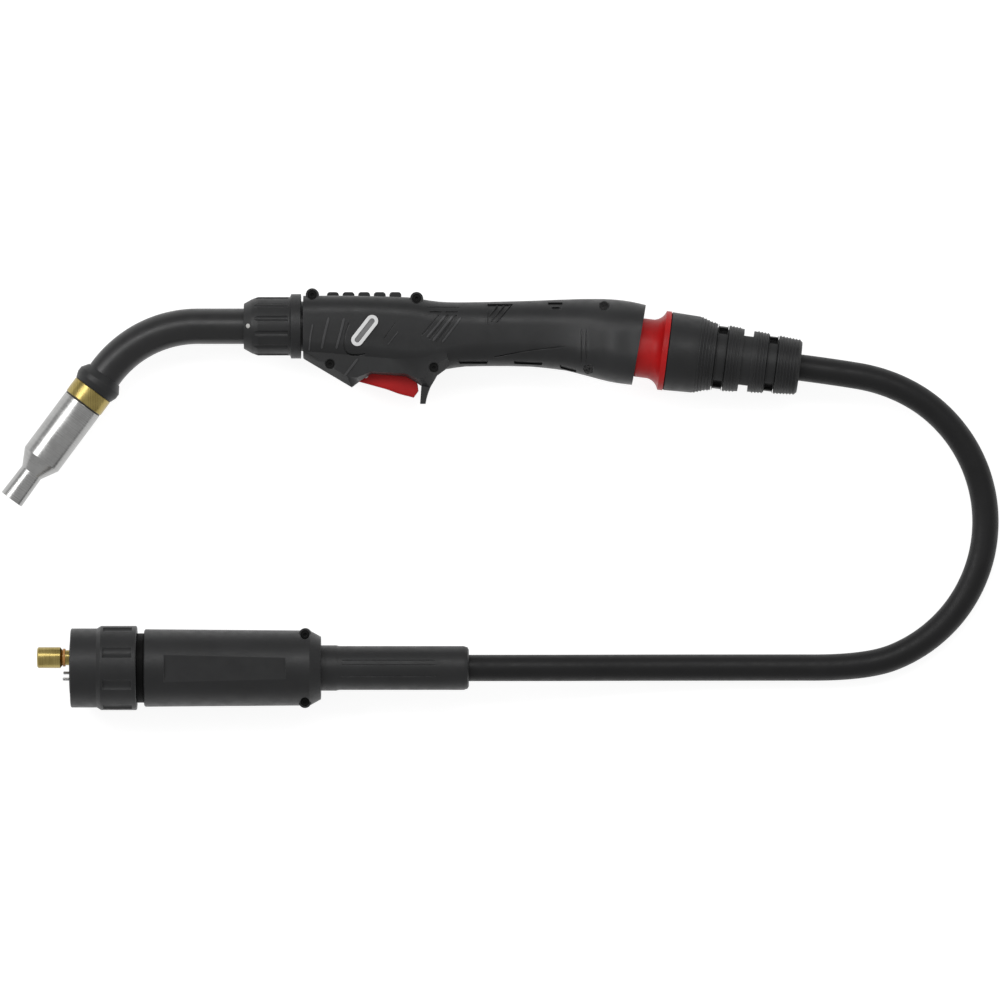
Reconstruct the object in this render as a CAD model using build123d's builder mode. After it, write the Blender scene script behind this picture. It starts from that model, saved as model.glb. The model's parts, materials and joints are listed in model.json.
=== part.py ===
from build123d import *
import os
from math import cos, pi, radians, sin, sqrt, tan

# MIG welding torch: gas nozzle, bent neck, two-shell handle with trigger, ball-jointed
# cable boot, coaxial cable and central connector. Millimetres.
#
# Frame: the torch lies on its side on z = 0. +X runs from the nozzle to the cable boot,
# +Y points away from the trigger, +Z leaves the surface. The origin is the bottom centre
# of the torch's box without its cable and connector.

# ---------------------------------------------------------------- clearances
SEAT_GAP = 0.10  # between pieces that are pushed or screwed together
TURN_GAP = 0.08  # radial running clearance of a piece that turns
BODY_GAP = 0.30  # between pieces of different moving bodies

# ---------------------------------------------------------------- places of the main axes
BODY_Z = 27.0  # height of the middle plane of neck, handle and boot
FRONT_X = -66.0  # front face of the handle
NECK_Y = 47.05  # neck's axis where it enters the handle
BALL_BACK = 203.3  # the ball joint's centre, behind the handle's front face
BALL_UP = -11.6  # and from the neck's axis
BOOT_ANGLE = -7.1  # the boot's axis, degrees from +X
PLUG_X = -218.5  # front face of the connector's ring nut
PLUG_Y = -178.45
PLUG_Z = 27.8  # the ring nut's radius, so that it rests on the surface

# ---------------------------------------------------------------- neck
NECK_BEND = 53.3  # degrees
BEND_RADIUS = 75.0
BEND_START = 69.0  # ahead of the handle's front face
NECK_R = 11.75
SLEEVE_WALL = 0.65
COPPER_R = 8.0
COPPER_BORE_R = 4.5
LINER_R = 2.4
LINER_BORE_R = 1.1
NECK_TAIL = 10.0  # how far the neck's sleeve reaches into the handle
ROOT_R = 9.5
ROOT_END = 26.0  # rear end of the neck's root, behind the front face

# ---------------------------------------------------------------- nozzle end, from the bend's end
CAP_START = 2.3
CAP_RIM = 7.0
CAP_END = 14.4
CAP_R = 15.5
SLEEVE_END = 9.0
RING_END = 25.4
SPIGOT_END = 45.0
INSULATOR_R = 10.2
HOLDER_R = 8.9
HOLDER_STEP = 46.0
HOLDER_NOSE_R = 6.4
HOLDER_END = 66.0
DIFFUSER_R = 10.6
DIFFUSER_END = 58.0
O_RING_W = 0.9
NOZZLE_START = 26.3
NOZZLE_SHOULDER = 71.7
NOZZLE_THROAT = 82.7
NOZZLE_END = 104.7
NOZZLE_R = 13.75
NOZZLE_THROAT_R = 7.65
NOZZLE_MOUTH_R = 8.15
NOZZLE_WALL = 1.2
RING_R = NOZZLE_R + 0.25
SPIGOT_GAP = 0.35  # the clip and the O-ring bridge it
SPIGOT_R = NOZZLE_R - NOZZLE_WALL - SPIGOT_GAP
TIP_R = 4.0
TIP_STEM_R = 2.9
TIP_STEM = 6.0
TIP_END = 101.5
TIP_BORE_R = 0.7
CLIP_AT = 36.0
CLIP_WIRE_R = 0.6
CLIP_GROOVE_D = 1.1

# ---------------------------------------------------------------- clamp nut, ahead of the handle
NUT_START = 0.7
NUT_FLANGE_END = 7.9
NUT_FLANGE_R = 21.3
NUT_R = 19.3
NUT_CONE = 29.0
NUT_END = 38.3
NUT_NOSE_R = 14.9
NUT_FLUTES = 12
NUT_FLUTE_R = 2.4
SPIGOT_LEN = 25.0
NUT_SPIGOT_R = 16.4

# ---------------------------------------------------------------- handle
WALL = 2.6
# Places on the handle are measured back from its front face and up from the neck's axis.
# back, top, bottom, half width, corner radius
HANDLE_STATIONS = (
    (1.0, 20.0, -21.4, 21.4, 12.0),
    (32.2, 20.0, -23.4, 21.6, 12.0),
    (70.2, 19.0, -28.4, 20.6, 13.0),
    (90.2, 16.2, -28.8, 19.4, 14.0),
    (108.2, 15.8, -26.5, 18.9, 15.0),
    (150.2, 16.7, -26.6, 19.4, 16.0),
    (174.2, 17.6, -29.2, 22.6, 18.0),
    (189.2, 18.0, -33.0, 23.6, 20.0),
    (203.2, 17.8, -36.6, 26.98, 23.5),
    (217.2, 16.2, -38.6, 24.8, 21.5),
    (234.2, 12.6, -39.8, 24.2, 20.0),
)
CAVITY_STATIONS = 7  # how many of the stations the inner cavity follows
STATION_STEPS = 3  # smooth steps between two stations
END_PLANE_ANGLE = -9.9
END_PLANE_REACH = 18.8  # from the ball's centre to the handle's rear face
BULKHEADS = ((10.2, 3.0), (35.2, 3.0), (128.2, 2.5), (166.2, 2.5))  # back, thickness
VENT_FIRST = 20.4
VENT_PITCH = 10.3
VENT_COUNT = 5
VENT_LEN = 7.8
VENT_H = 5.0
VENT_CORNER = 2.0
VENT_HALF = 4.0
SKIRT_HALF = 12.0
CHEEK_HALF = 18.8  # the skirt slopes out to flat cheeks, which meet the barrel
SKIRT_FRONT = ((1.6, -12.4), (1.6, -21.8), (32.8, -40.3), (37.3, -36.8), (46.1, -31.5))
SKIRT_REAR = ((46.1, -31.5), (68.6, -33.2), (78.8, -39.4), (78.0, -51.2), (81.5, -51.2))
GUARD_BACK = ((81.5, -51.2), (83.6, -43.0), (89.2, -32.4), (98.2, -25.8))
SKIRT_TOP = ((98.2, -25.8), (98.2, -12.4), (1.6, -12.4))
CHEEK_EDGE = (
    (1.6, -12.4),
    (1.6, -21.8),
    (32.8, -40.3),
    (37.3, -36.8),
    (46.1, -31.5),
    (68.6, -33.2),
    (78.8, -39.4),
    (84.4, -40.6),
    (89.2, -32.4),
    (98.2, -25.8),
    (98.2, -12.4),
)
CHEEK_FACE = (
    (1.6, -12.4),
    (1.6, -16.5),
    (30.0, -33.2),
    (36.4, -34.0),
    (46.1, -30.0),
    (68.6, -31.4),
    (76.0, -34.6),
    (80.4, -34.4),
    (87.8, -26.0),
    (96.0, -21.0),
    (96.0, -12.4),
)
SLOT_HALF = 8.0
SLOT_FRONT = 36.8
SLOT_REAR = 78.6
SLOT_TOP = -18.4
FRONT_SCREWS = ((6.9, 20.6), (18.7, -25.3), (75.7, 18.2), (87.1, -27.5))
REAR_SCREWS = ((13.2, 4.62), (-28.8, 2.0))  # height, and clearance outside the ball's seat
SCREW_HEAD_R = 2.9
SCREW_SHANK_R = 1.4
LUG_R = 4.3
LUG_HALF = 11.0
LUG_SCREWS = (0, 2)  # the screws at the top edge sit in lugs
CHEEK_SCREWS = (1, 3)
CHEEK_SCREW_HALF = 16.6
REAR_SCREW_HALF = 14.0

# ---------------------------------------------------------------- trigger and switch
PIVOT_BACK = 42.2
PIVOT_UP = -32.8
PIVOT_PIN_R = 1.5
PIVOT_PIN_HALF = 12.0
TRIGGER_HALF = 7.6
TRIGGER_PAD_H = 10.0  # above the pivot
PLUNGER_ARM = 13.0  # behind the pivot
PLUNGER_HALF = 1.25
PLUNGER_GAP = 0.3
PLUNGER_SHOWS = 2.3
PLUNGER_HIDDEN = 3.0
PLUNGER_ROOM = 2.4
SWITCH_LEN = 19.8
SWITCH_H = 10.2
SWITCH_HALF = 3.2
SWITCH_PIN_R = 1.1
SWITCH_PIN_PITCH = 9.5
SPRING_R = 2.8
SPRING_WIRE_R = 0.35
SPRING_TURNS = 4

# ---------------------------------------------------------------- power block and inner cable
BLOCK_START = 10.4  # behind the handle's front face, as all of this group
BLOCK_END = 38.4
BLOCK_R = 14.0
FERRULE_END = 50.0
CABLE_R = 8.75
FERRULE_WALL = 1.6
FERRULE_R = CABLE_R + 0.05 + FERRULE_WALL
LEAD_BEND = 110.3

# ---------------------------------------------------------------- badge
BADGE_BACK = 41.6
BADGE_UP = -3.1
BADGE_ANGLE = 52.0
BADGE_LEN = 23.8
BADGE_W = 8.0
BADGE_RIM = 2.3
BADGE_H = 0.9

# ---------------------------------------------------------------- ball joint, from the ball's centre
BALL_R = 18.6
SEAT_WALL = 1.6
SEAT_FRONT = -8.0
SEAT_REAR = 6.0
BALL_FRONT = -12.5
BALL_NECK_R = BALL_R - 4.2
THROAT_R = BALL_R + 1.3
MOUTH_START = 10.5
MOUTH_R = 22.8
KNUCKLE_BORE_R = CABLE_R + 0.65
KNUCKLE_BORE_FLARE = 0.26  # radius gained per millimetre ahead of the centre
SHROUD_START = 17.0
SHROUD_R = 19.5
SHROUD_END = 27.0
COLLAR_START = 34.5
COLLAR_END = 38.0
COLLAR_R = 26.2
LEAD_GAP = 2.2  # half the gap between the two cable ends at the ball's centre

# ---------------------------------------------------------------- boot, from the ball's centre
BOOT_START = 38.0
BOOT_SHOULDER = 57.0
BOOT_STEP = 66.0
BOOT_END = 125.9
BOOT_R = 25.9
BOOT_SHOULDER_R = 25.3
BOOT_STEP_R = 22.3
BOOT_END_R = 17.8
BOOT_SLOTS = ((70.0, 6.0), (87.0, 6.6), (104.0, 5.6))  # start, width
BOOT_SLOT_DEPTH = 4.6
BOOT_GROOVE_D = 1.3
BOOT_RIB_W = 9.0

# ---------------------------------------------------------------- connector, from the ring nut's front face
RING_NUT_STEP = 17.2
RING_NUT_STEP_END = 20.0
RING_NUT_END = 43.6
RING_NUT_FRONT_R = 26.1
RING_NUT_REAR_R = 27.8
RING_NUT_BORE_R = 22.6
RING_NUT_LIP = 37.5
RING_NUT_LIP_R = 18.5
RING_NUT_PADS = 8
RING_NUT_PAD_CUT_R = 6.0
RING_NUT_PAD_CUT_D = 1.5
BODY_FACE = -0.6
BODY_R = 17.4
RETAINER_START = 29.5
RETAINER_END = 37.2
RETAINER_R = 21.6
BODY_END = 70.0
COLLAR_PLUG_R = 22.9
COLLAR_PLUG_END = 48.2
PLUG_SHELL_START = 48.5
PLUG_SHELL_TAIL = 157.7
PLUG_SHELL_END = 165.0
PLUG_SHELL_R = 25.6
PLUG_SHELL_REAR_R = 24.75
PLUG_TAIL_R = 20.7
PLUG_WALL = 2.6
PLUG_PANEL = (62.0, 142.0)
PLUG_PANEL_HALF = 13.5
PLUG_PANEL_DEPTH = 0.9
PLUG_SCREW_AT = 154.6
PLUG_SCREW_OFF = 22.1
PLUG_LUG_R = 4.2
PLUG_LUG_HALF = 9.0
PLUG_SLEEVE_START = 159.0
PLUG_SLEEVE_FLANGE = 162.0
PLUG_SLEEVE_END = 262.6
PLUG_SLEEVE_R = 15.0
PLUG_SLEEVE_END_R = 14.5
PLUG_SLEEVE_FLANGE_R = 18.5
PLUG_CLOCK = 25.0  # the pins' turn about the connector's axis
PIN_OFFSET = 7.6
PIN_R = 6.95
PIN_NECK_R = 5.0
PIN_TIP = -22.0
PIN_NECK = -6.9
PIN_BORE_R = 2.6
PIN_STEP = -2.0  # where the bore narrows
PIN_REAR_BORE_R = 2.3
PIN_TAIL = 84.0
CONTROL_PIN_PITCH = 9.4
CONTROL_PIN_DROP = 5.9
CONTROL_PIN_R = 1.4
CONTROL_TIP_R = 1.0
CONTROL_PIN_TIP = -5.3
CONTROL_PIN_STEP = -0.9  # the slimmer tip ends here
CONTROL_PIN_TAIL = 14.0
CONTROL_SLEEVE_R = 2.2
CONTROL_TRAVEL = 3.0
CLAMP_START = 84.2
CLAMP_END = 118.0
CLAMP_R = 13.0
PLUG_CABLE_START = 98.0

# ---------------------------------------------------------------- cable's route, chosen by hand (x, y, z)
CABLE_POINTS = (
    (250.33, 21.37, 27.0),
    (282.08, 17.42, 27.0),
    (319.6, 11.2, 24.0),
    (351.8, -6.4, 18.5),
    (375.3, -34.8, 13.0),
    (386.7, -69.6, 9.8),
    (384.5, -106.3, 8.8),
    (368.9, -139.7, 8.8),
    (342.1, -164.8, 8.8),
    (307.9, -178.45, 8.9),
    (236.2, -178.45, 8.9),
    (157.2, -178.45, 13.6),
    (91.2, -178.45, 27.8),
    (31.7, -178.45, 27.8),
)
RUN_SHARE = 0.45  # of the shorter run, which an arc's tangent takes
CABLE_SEAM = 0.05  # between the cable's free run and its end in the boot


# ---------------------------------------------------------------- helpers
def axis_plane(x, y, z, angle):
    """Plane whose x axis is a turned piece's axis and whose y axis is its radius."""
    direction = (cos(radians(angle)), sin(radians(angle)), 0)
    return Plane(origin=(x, y, z), x_dir=direction, z_dir=(0, 0, 1))


def turn(plane, outline, mode=Mode.ADD):
    """Turns a closed outline of (station, radius) points about the plane's x axis."""
    with BuildSketch(plane) as profile:
        with BuildLine():
            Polyline(*outline, close=True)
        make_face()
    revolve(profile.sketch, axis=Axis(plane.origin, plane.x_dir), mode=mode)


def tube(plane, start, end, outer, inner=0.0, mode=Mode.ADD):
    """Plain turned tube or rod between two stations."""
    turn(plane, ((start, inner), (end, inner), (end, outer), (start, outer)), mode)


def cross_plane(plane, station):
    """Plane across a turned piece's axis; its x axis is the turned plane's y axis."""
    origin = plane.origin + station * plane.x_dir
    return Plane(origin=origin, x_dir=plane.y_dir, z_dir=plane.x_dir)


def finish(piece, name):
    """Labels a finished piece and writes its STEP file."""
    piece.part.label = name
    export_step(piece.part, f"parts/{name}.step")


def upright(z):
    """Plane parallel to the surface at this height."""
    return Plane.XY.offset(z)


def at(back, up):
    """Point on the handle: back from its front face, up from the neck's axis."""
    return (FRONT_X + back, NECK_Y + up)


def all_at(places):
    """The same for several points."""
    return [at(*place) for place in places]


NECK_LINE = axis_plane(FRONT_X, NECK_Y, BODY_Z, 180)
BEND_CENTRE_Y = NECK_Y - BEND_RADIUS
BEND_END_X = FRONT_X - BEND_START - BEND_RADIUS * sin(radians(NECK_BEND))
BEND_END_Y = BEND_CENTRE_Y + BEND_RADIUS * cos(radians(NECK_BEND))
TIP_LINE = axis_plane(BEND_END_X, BEND_END_Y, BODY_Z, 180 + NECK_BEND)
def rear_screw(height, clearance):
    """Place of a screw at its height, ahead of the ball's seat by its clearance."""
    reach = BALL_R + BODY_GAP + SEAT_WALL + clearance
    return (BALL_BACK - sqrt(reach**2 - (height - BALL_UP) ** 2), height)


SCREWS = (*FRONT_SCREWS, *(rear_screw(*spot) for spot in REAR_SCREWS))
BALL_X, BALL_Y = at(BALL_BACK, BALL_UP)
BALL_LINE = axis_plane(BALL_X, BALL_Y, BODY_Z, BOOT_ANGLE)
PLUG_LINE = axis_plane(PLUG_X, PLUG_Y, PLUG_Z, 0)


def neck_path(tail, end):
    """Neck's centre line from behind the front face, round the bend, to a tip station."""
    with BuildLine() as path:
        entry = Line((FRONT_X + tail, NECK_Y), (FRONT_X - BEND_START, NECK_Y))
        bend = JernArc(start=entry @ 1, tangent=entry % 1, radius=BEND_RADIUS, arc_size=NECK_BEND)
        Line(bend @ 1, (bend @ 1) + end * (bend % 1))
    return path.line.moved(Location((0, 0, BODY_Z)))


def bent_tube(tail, end, outer, inner):
    """Tube along the neck's centre line."""
    path = neck_path(tail, end)
    with BuildSketch(Plane(origin=path @ 0, z_dir=path % 0)) as ring:
        Circle(outer)
        Circle(inner, mode=Mode.SUBTRACT)
    sweep(ring.sketch, path=path)


# ---------------------------------------------------------------- neck
def neck_pieces():
    """The bent neck: copper tube, insulation, outer sleeve, root and wire liner."""
    insulation_r = NECK_R - SLEEVE_WALL - SEAT_GAP
    with BuildPart() as neck_sleeve:
        bent_tube(NECK_TAIL, SLEEVE_END, NECK_R, NECK_R - SLEEVE_WALL)
    finish(neck_sleeve, "neck_sleeve")

    with BuildPart() as neck_insulation:
        bent_tube(NECK_TAIL, CAP_END - SEAT_GAP, insulation_r, COPPER_R + SEAT_GAP)
    finish(neck_insulation, "neck_insulation")

    with BuildPart() as neck_tube:
        bent_tube(NECK_TAIL, CAP_END + SEAT_GAP, COPPER_R, COPPER_BORE_R)
    finish(neck_tube, "neck_tube")

    with BuildPart() as neck_root:
        tube(NECK_LINE, -ROOT_END, -NECK_TAIL - SEAT_GAP, ROOT_R, LINER_R + SEAT_GAP)
        plug_in = (-NECK_TAIL - SEAT_GAP, -NECK_TAIL + 6.0)
        tube(NECK_LINE, *plug_in, COPPER_BORE_R - SEAT_GAP, LINER_R + SEAT_GAP)
    finish(neck_root, "neck_root")

    with BuildPart() as wire_liner:
        bent_tube(ROOT_END - 1.0, CAP_END - 1.0, LINER_R, LINER_BORE_R)
    finish(wire_liner, "wire_liner")


# ---------------------------------------------------------------- nozzle end
def nozzle_end_pieces():
    """Everything at the neck's front: cap, seat ring, tip holder and nut, diffuser, tip and nozzle."""
    sleeve_bore = NECK_R + SEAT_GAP
    cap_bore = NECK_R - SLEEVE_WALL
    with BuildPart() as neck_end_cap:
        turn(
            TIP_LINE,
            (
                (CAP_START, sleeve_bore),
                (SLEEVE_END + SEAT_GAP, sleeve_bore),
                (SLEEVE_END + SEAT_GAP, cap_bore),
                (CAP_END, cap_bore),
                (CAP_END, RING_R),
                (CAP_RIM + 3.4, CAP_R),
                (CAP_RIM, CAP_R),
                (CAP_START, sleeve_bore + 0.5),
            ),
        )
        fillet(neck_end_cap.edges().filter_by(GeomType.CIRCLE).group_by(SortBy.LENGTH)[-1], 0.8)
    finish(neck_end_cap, "neck_end_cap")

    ring_start = CAP_END + SEAT_GAP
    ring_bore = INSULATOR_R + SEAT_GAP
    clip_groove = CLIP_WIRE_R + SEAT_GAP
    with BuildPart() as nozzle_seat_ring:
        tube(TIP_LINE, ring_start, RING_END, RING_R, ring_bore)
        chamfer(nozzle_seat_ring.edges().filter_by(GeomType.CIRCLE).group_by(SortBy.RADIUS)[-1], 0.4)
        tube(TIP_LINE, RING_END, SPIGOT_END, SPIGOT_R, ring_bore)
        groove = (CLIP_AT - clip_groove, CLIP_AT + clip_groove)
        tube(TIP_LINE, *groove, SPIGOT_R + 1, SPIGOT_R - CLIP_GROOVE_D, Mode.SUBTRACT)
    finish(nozzle_seat_ring, "nozzle_seat_ring")

    with BuildPart() as nozzle_o_ring:
        tube(TIP_LINE, RING_END + 0.02, RING_END + O_RING_W - 0.05, NOZZLE_R - 0.3, SPIGOT_R + 0.05)
    finish(nozzle_o_ring, "nozzle_o_ring")

    clip_r = NOZZLE_R - NOZZLE_WALL - TURN_GAP - CLIP_WIRE_R
    with BuildPart() as nozzle_clip:
        with BuildSketch(TIP_LINE) as wire:
            with Locations((CLIP_AT, clip_r)):
                Circle(CLIP_WIRE_R)
        revolve(wire.sketch, axis=Axis(TIP_LINE.origin, TIP_LINE.x_dir), revolution_arc=320)
    finish(nozzle_clip, "nozzle_clip")

    with BuildPart() as nozzle_insulator:
        tube(TIP_LINE, ring_start, SPIGOT_END, INSULATOR_R, HOLDER_R + SEAT_GAP)
    finish(nozzle_insulator, "nozzle_insulator")

    holder_start = CAP_END + 2 * SEAT_GAP
    nut_start = HOLDER_END - TIP_STEM - 1.0
    with BuildPart() as tip_holder:
        tube(TIP_LINE, holder_start, HOLDER_STEP, HOLDER_R, LINER_R + SEAT_GAP)
        tube(TIP_LINE, HOLDER_STEP, nut_start - SEAT_GAP, HOLDER_NOSE_R, LINER_R + SEAT_GAP)
    finish(tip_holder, "tip_holder")

    stem_bore = TIP_STEM_R + SEAT_GAP
    with BuildPart() as tip_nut:
        turn(
            TIP_LINE,
            (
                (nut_start, stem_bore),
                (HOLDER_END, stem_bore),
                (HOLDER_END, HOLDER_NOSE_R - 0.8),
                (HOLDER_END - 0.8, HOLDER_NOSE_R),
                (nut_start, HOLDER_NOSE_R),
            ),
        )
        with BuildSketch(cross_plane(TIP_LINE, nut_start - 1.0)) as flats:
            Circle(HOLDER_R)
            RegularPolygon(HOLDER_NOSE_R, 6, mode=Mode.SUBTRACT)
        extrude(flats.sketch, amount=TIP_STEM + 3.0, mode=Mode.SUBTRACT)
    finish(tip_nut, "tip_nut")

    with BuildPart() as gas_diffuser:
        tube(TIP_LINE, HOLDER_STEP + SEAT_GAP, DIFFUSER_END, DIFFUSER_R, HOLDER_NOSE_R + SEAT_GAP)
        for turn_angle in range(0, 180, 45):
            hole_plane = cross_plane(TIP_LINE, (HOLDER_STEP + DIFFUSER_END) / 2)
            outward = hole_plane.x_dir.rotate(Axis((0, 0, 0), TIP_LINE.x_dir), turn_angle)
            across = Plane(hole_plane.origin, z_dir=outward)
            with BuildSketch(across) as hole:
                Circle(1.1)
            extrude(hole.sketch, amount=DIFFUSER_R + 1, both=True, mode=Mode.SUBTRACT)
    finish(gas_diffuser, "gas_diffuser")

    with BuildPart() as contact_tip:
        turn(
            TIP_LINE,
            (
                (HOLDER_END - TIP_STEM, TIP_BORE_R),
                (TIP_END, TIP_BORE_R),
                (TIP_END, TIP_R - 1.4),
                (TIP_END - 4.0, TIP_R),
                (HOLDER_END + SEAT_GAP, TIP_R),
                (HOLDER_END + SEAT_GAP, TIP_STEM_R),
                (HOLDER_END - TIP_STEM, TIP_STEM_R),
            ),
        )
    finish(contact_tip, "contact_tip")

    bore = NOZZLE_R - NOZZLE_WALL
    throat = NOZZLE_THROAT_R - NOZZLE_WALL
    with BuildPart() as gas_nozzle:
        turn(
            TIP_LINE,
            (
                (NOZZLE_START, bore),
                (NOZZLE_SHOULDER - 1.0, bore),
                (NOZZLE_THROAT - 1.0, throat),
                (NOZZLE_END, NOZZLE_MOUTH_R - NOZZLE_WALL),
                (NOZZLE_END, NOZZLE_MOUTH_R),
                (NOZZLE_THROAT, NOZZLE_THROAT_R),
                (NOZZLE_SHOULDER, NOZZLE_R),
                (NOZZLE_START, NOZZLE_R),
            ),
        )
        rims = gas_nozzle.edges().filter_by(GeomType.CIRCLE)
        chamfer(rims.group_by(SortBy.RADIUS)[-1].sort_by(Axis.X)[-1], 0.3)
    finish(gas_nozzle, "gas_nozzle")


# ---------------------------------------------------------------- clamp nut and collet
def clamp_pieces():
    """The fluted nut that clamps the neck, its split collet and its index dot."""
    spigot_bore = NUT_SPIGOT_R + BODY_GAP
    nose_bore = NECK_R + BODY_GAP
    collet_start = SPIGOT_LEN + BODY_GAP
    collet_end = collet_start + 7.0
    collet_r = NUT_SPIGOT_R - 0.8
    with BuildPart() as clamp_nut:
        turn(
            NECK_LINE,
            (
                (NUT_START, spigot_bore),
                (collet_end + 1.0, spigot_bore),
                (collet_end + 4.0, nose_bore),
                (NUT_END, nose_bore),
                (NUT_END, NUT_NOSE_R),
                (NUT_CONE + 4.0, NUT_R - 1.4),
                (NUT_CONE, NUT_R),
                (NUT_FLANGE_END, NUT_R),
                (NUT_FLANGE_END - 0.8, NUT_FLANGE_R),
                (NUT_START, NUT_FLANGE_R),
            ),
        )
        with BuildSketch(cross_plane(NECK_LINE, NUT_FLANGE_END + 1.2)) as flutes:
            with PolarLocations(NUT_R + NUT_FLUTE_R - 0.9, NUT_FLUTES, start_angle=15):
                Circle(NUT_FLUTE_R)
        extrude(flutes.sketch, amount=NUT_END, mode=Mode.SUBTRACT)
    finish(clamp_nut, "clamp_nut")

    with BuildPart() as collet_ring:
        tube(NECK_LINE, collet_start, collet_end, collet_r, NECK_R + TURN_GAP)
        with BuildSketch(cross_plane(NECK_LINE, collet_start)) as split_gap:
            with Locations((collet_r, 0)):
                Rectangle(2 * collet_r, 1.6)
        extrude(split_gap.sketch, amount=collet_end, mode=Mode.SUBTRACT)
    finish(collet_ring, "collet_ring")


# ---------------------------------------------------------------- handle
def blend(p0, p1, p2, p3, t):
    """Cubic through p1 and p2 that leaves and arrives along its neighbours."""
    rise = 0.5 * (p2 - p0)
    arrive = 0.5 * (p3 - p1)
    gap = p2 - p1
    return p1 + rise * t + (3 * gap - 2 * rise - arrive) * t**2 + (rise + arrive - 2 * gap) * t**3


def eased(stations):
    """The handle's stations with smooth steps of equal number between each pair."""
    ends = [stations[0], *stations, stations[-1]]
    steps = []
    for before, first, second, after in zip(ends, ends[1:], ends[2:], ends[3:]):
        for step in range(STATION_STEPS):
            t = step / STATION_STEPS
            back = first[0] + t * (second[0] - first[0])
            rest = [blend(*four, t) for four in zip(before[1:], first[1:], second[1:], after[1:])]
            steps.append((back, *rest))
    return [*steps, stations[-1]]


def handle_loft(stations, inset):
    """Adds a body through rounded rectangles across x, drawn in by an inset."""
    sections = []
    for back, top, bottom, half, corner in eased(stations):
        centre = at(back, (top + bottom) / 2)
        plane = Plane(origin=(*centre, BODY_Z), x_dir=(0, 1, 0), z_dir=(1, 0, 0))
        with BuildSketch(plane) as section:
            RectangleRounded(top - bottom - 2 * inset, 2 * (half - inset), corner - inset)
        sections.append(section.sketch)
    loft(sections, ruled=True)


def skirt_outline():
    """Outline of the nose, trigger walls and finger guard under the handle's barrel."""
    with BuildLine() as edge:
        Polyline(*all_at(SKIRT_FRONT))
        Polyline(*all_at(SKIRT_REAR))
        Spline(*all_at(GUARD_BACK), tangents=((0.15, 1), (1, 0.35)))
        Polyline(*all_at(SKIRT_TOP))
    return edge.line


def cheek():
    """Sloped side of the skirt above the middle plane: from its edge out to a flat face."""
    with BuildPart() as side:
        sections = []
        for outline, height in ((CHEEK_EDGE, SKIRT_HALF), (CHEEK_FACE, CHEEK_HALF)):
            with BuildSketch(upright(BODY_Z + height)) as section:
                with BuildLine():
                    Polyline(*all_at(outline), close=True)
                make_face()
            sections.append(section.sketch)
        loft(sections, ruled=True)
    return side.part


def handle_cavity():
    """Room inside the two shells, with bulkheads left standing across it."""
    inner = [(HANDLE_STATIONS[0][0] + WALL, *HANDLE_STATIONS[0][1:])]
    inner += HANDLE_STATIONS[1:CAVITY_STATIONS]
    with BuildPart() as cavity:
        handle_loft(inner, WALL)
        for back, thickness in BULKHEADS:
            with BuildSketch(Plane.YZ.offset(FRONT_X + back)) as slab:
                Rectangle(400, 400)
            extrude(slab.sketch, amount=thickness, mode=Mode.SUBTRACT)
    return cavity.part


def lead_path(start_x, end_gap):
    """Centre line of the cable inside the handle, from the ferrule to the ball's centre."""
    end = BALL_LINE.origin - end_gap * BALL_LINE.x_dir
    with BuildLine() as path:
        FilletPolyline((start_x, NECK_Y), at(LEAD_BEND, 0), (end.X, end.Y), radius=260)
    return path.line.moved(Location((0, 0, BODY_Z)))


def ball_room():
    """Section of the room for the ball: cable way, spherical seat, throat and open mouth."""
    seat_r = BALL_R + BODY_GAP + SEAT_WALL + BODY_GAP
    front_r = BALL_R - 4.0
    front = -sqrt(seat_r**2 - front_r**2)
    throat = sqrt(seat_r**2 - THROAT_R**2)
    with BuildSketch(BALL_LINE) as room:
        with BuildLine():
            mouth = ((MOUTH_START, THROAT_R), (MOUTH_START, MOUTH_R), (60, MOUTH_R))
            Polyline((throat, THROAT_R), *mouth, (60, 0), (-22, 0), (-22, front_r), (front, front_r))
            ThreePointArc((front, front_r), (0, seat_r), (throat, THROAT_R))
        make_face()
    return room.sketch


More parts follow.
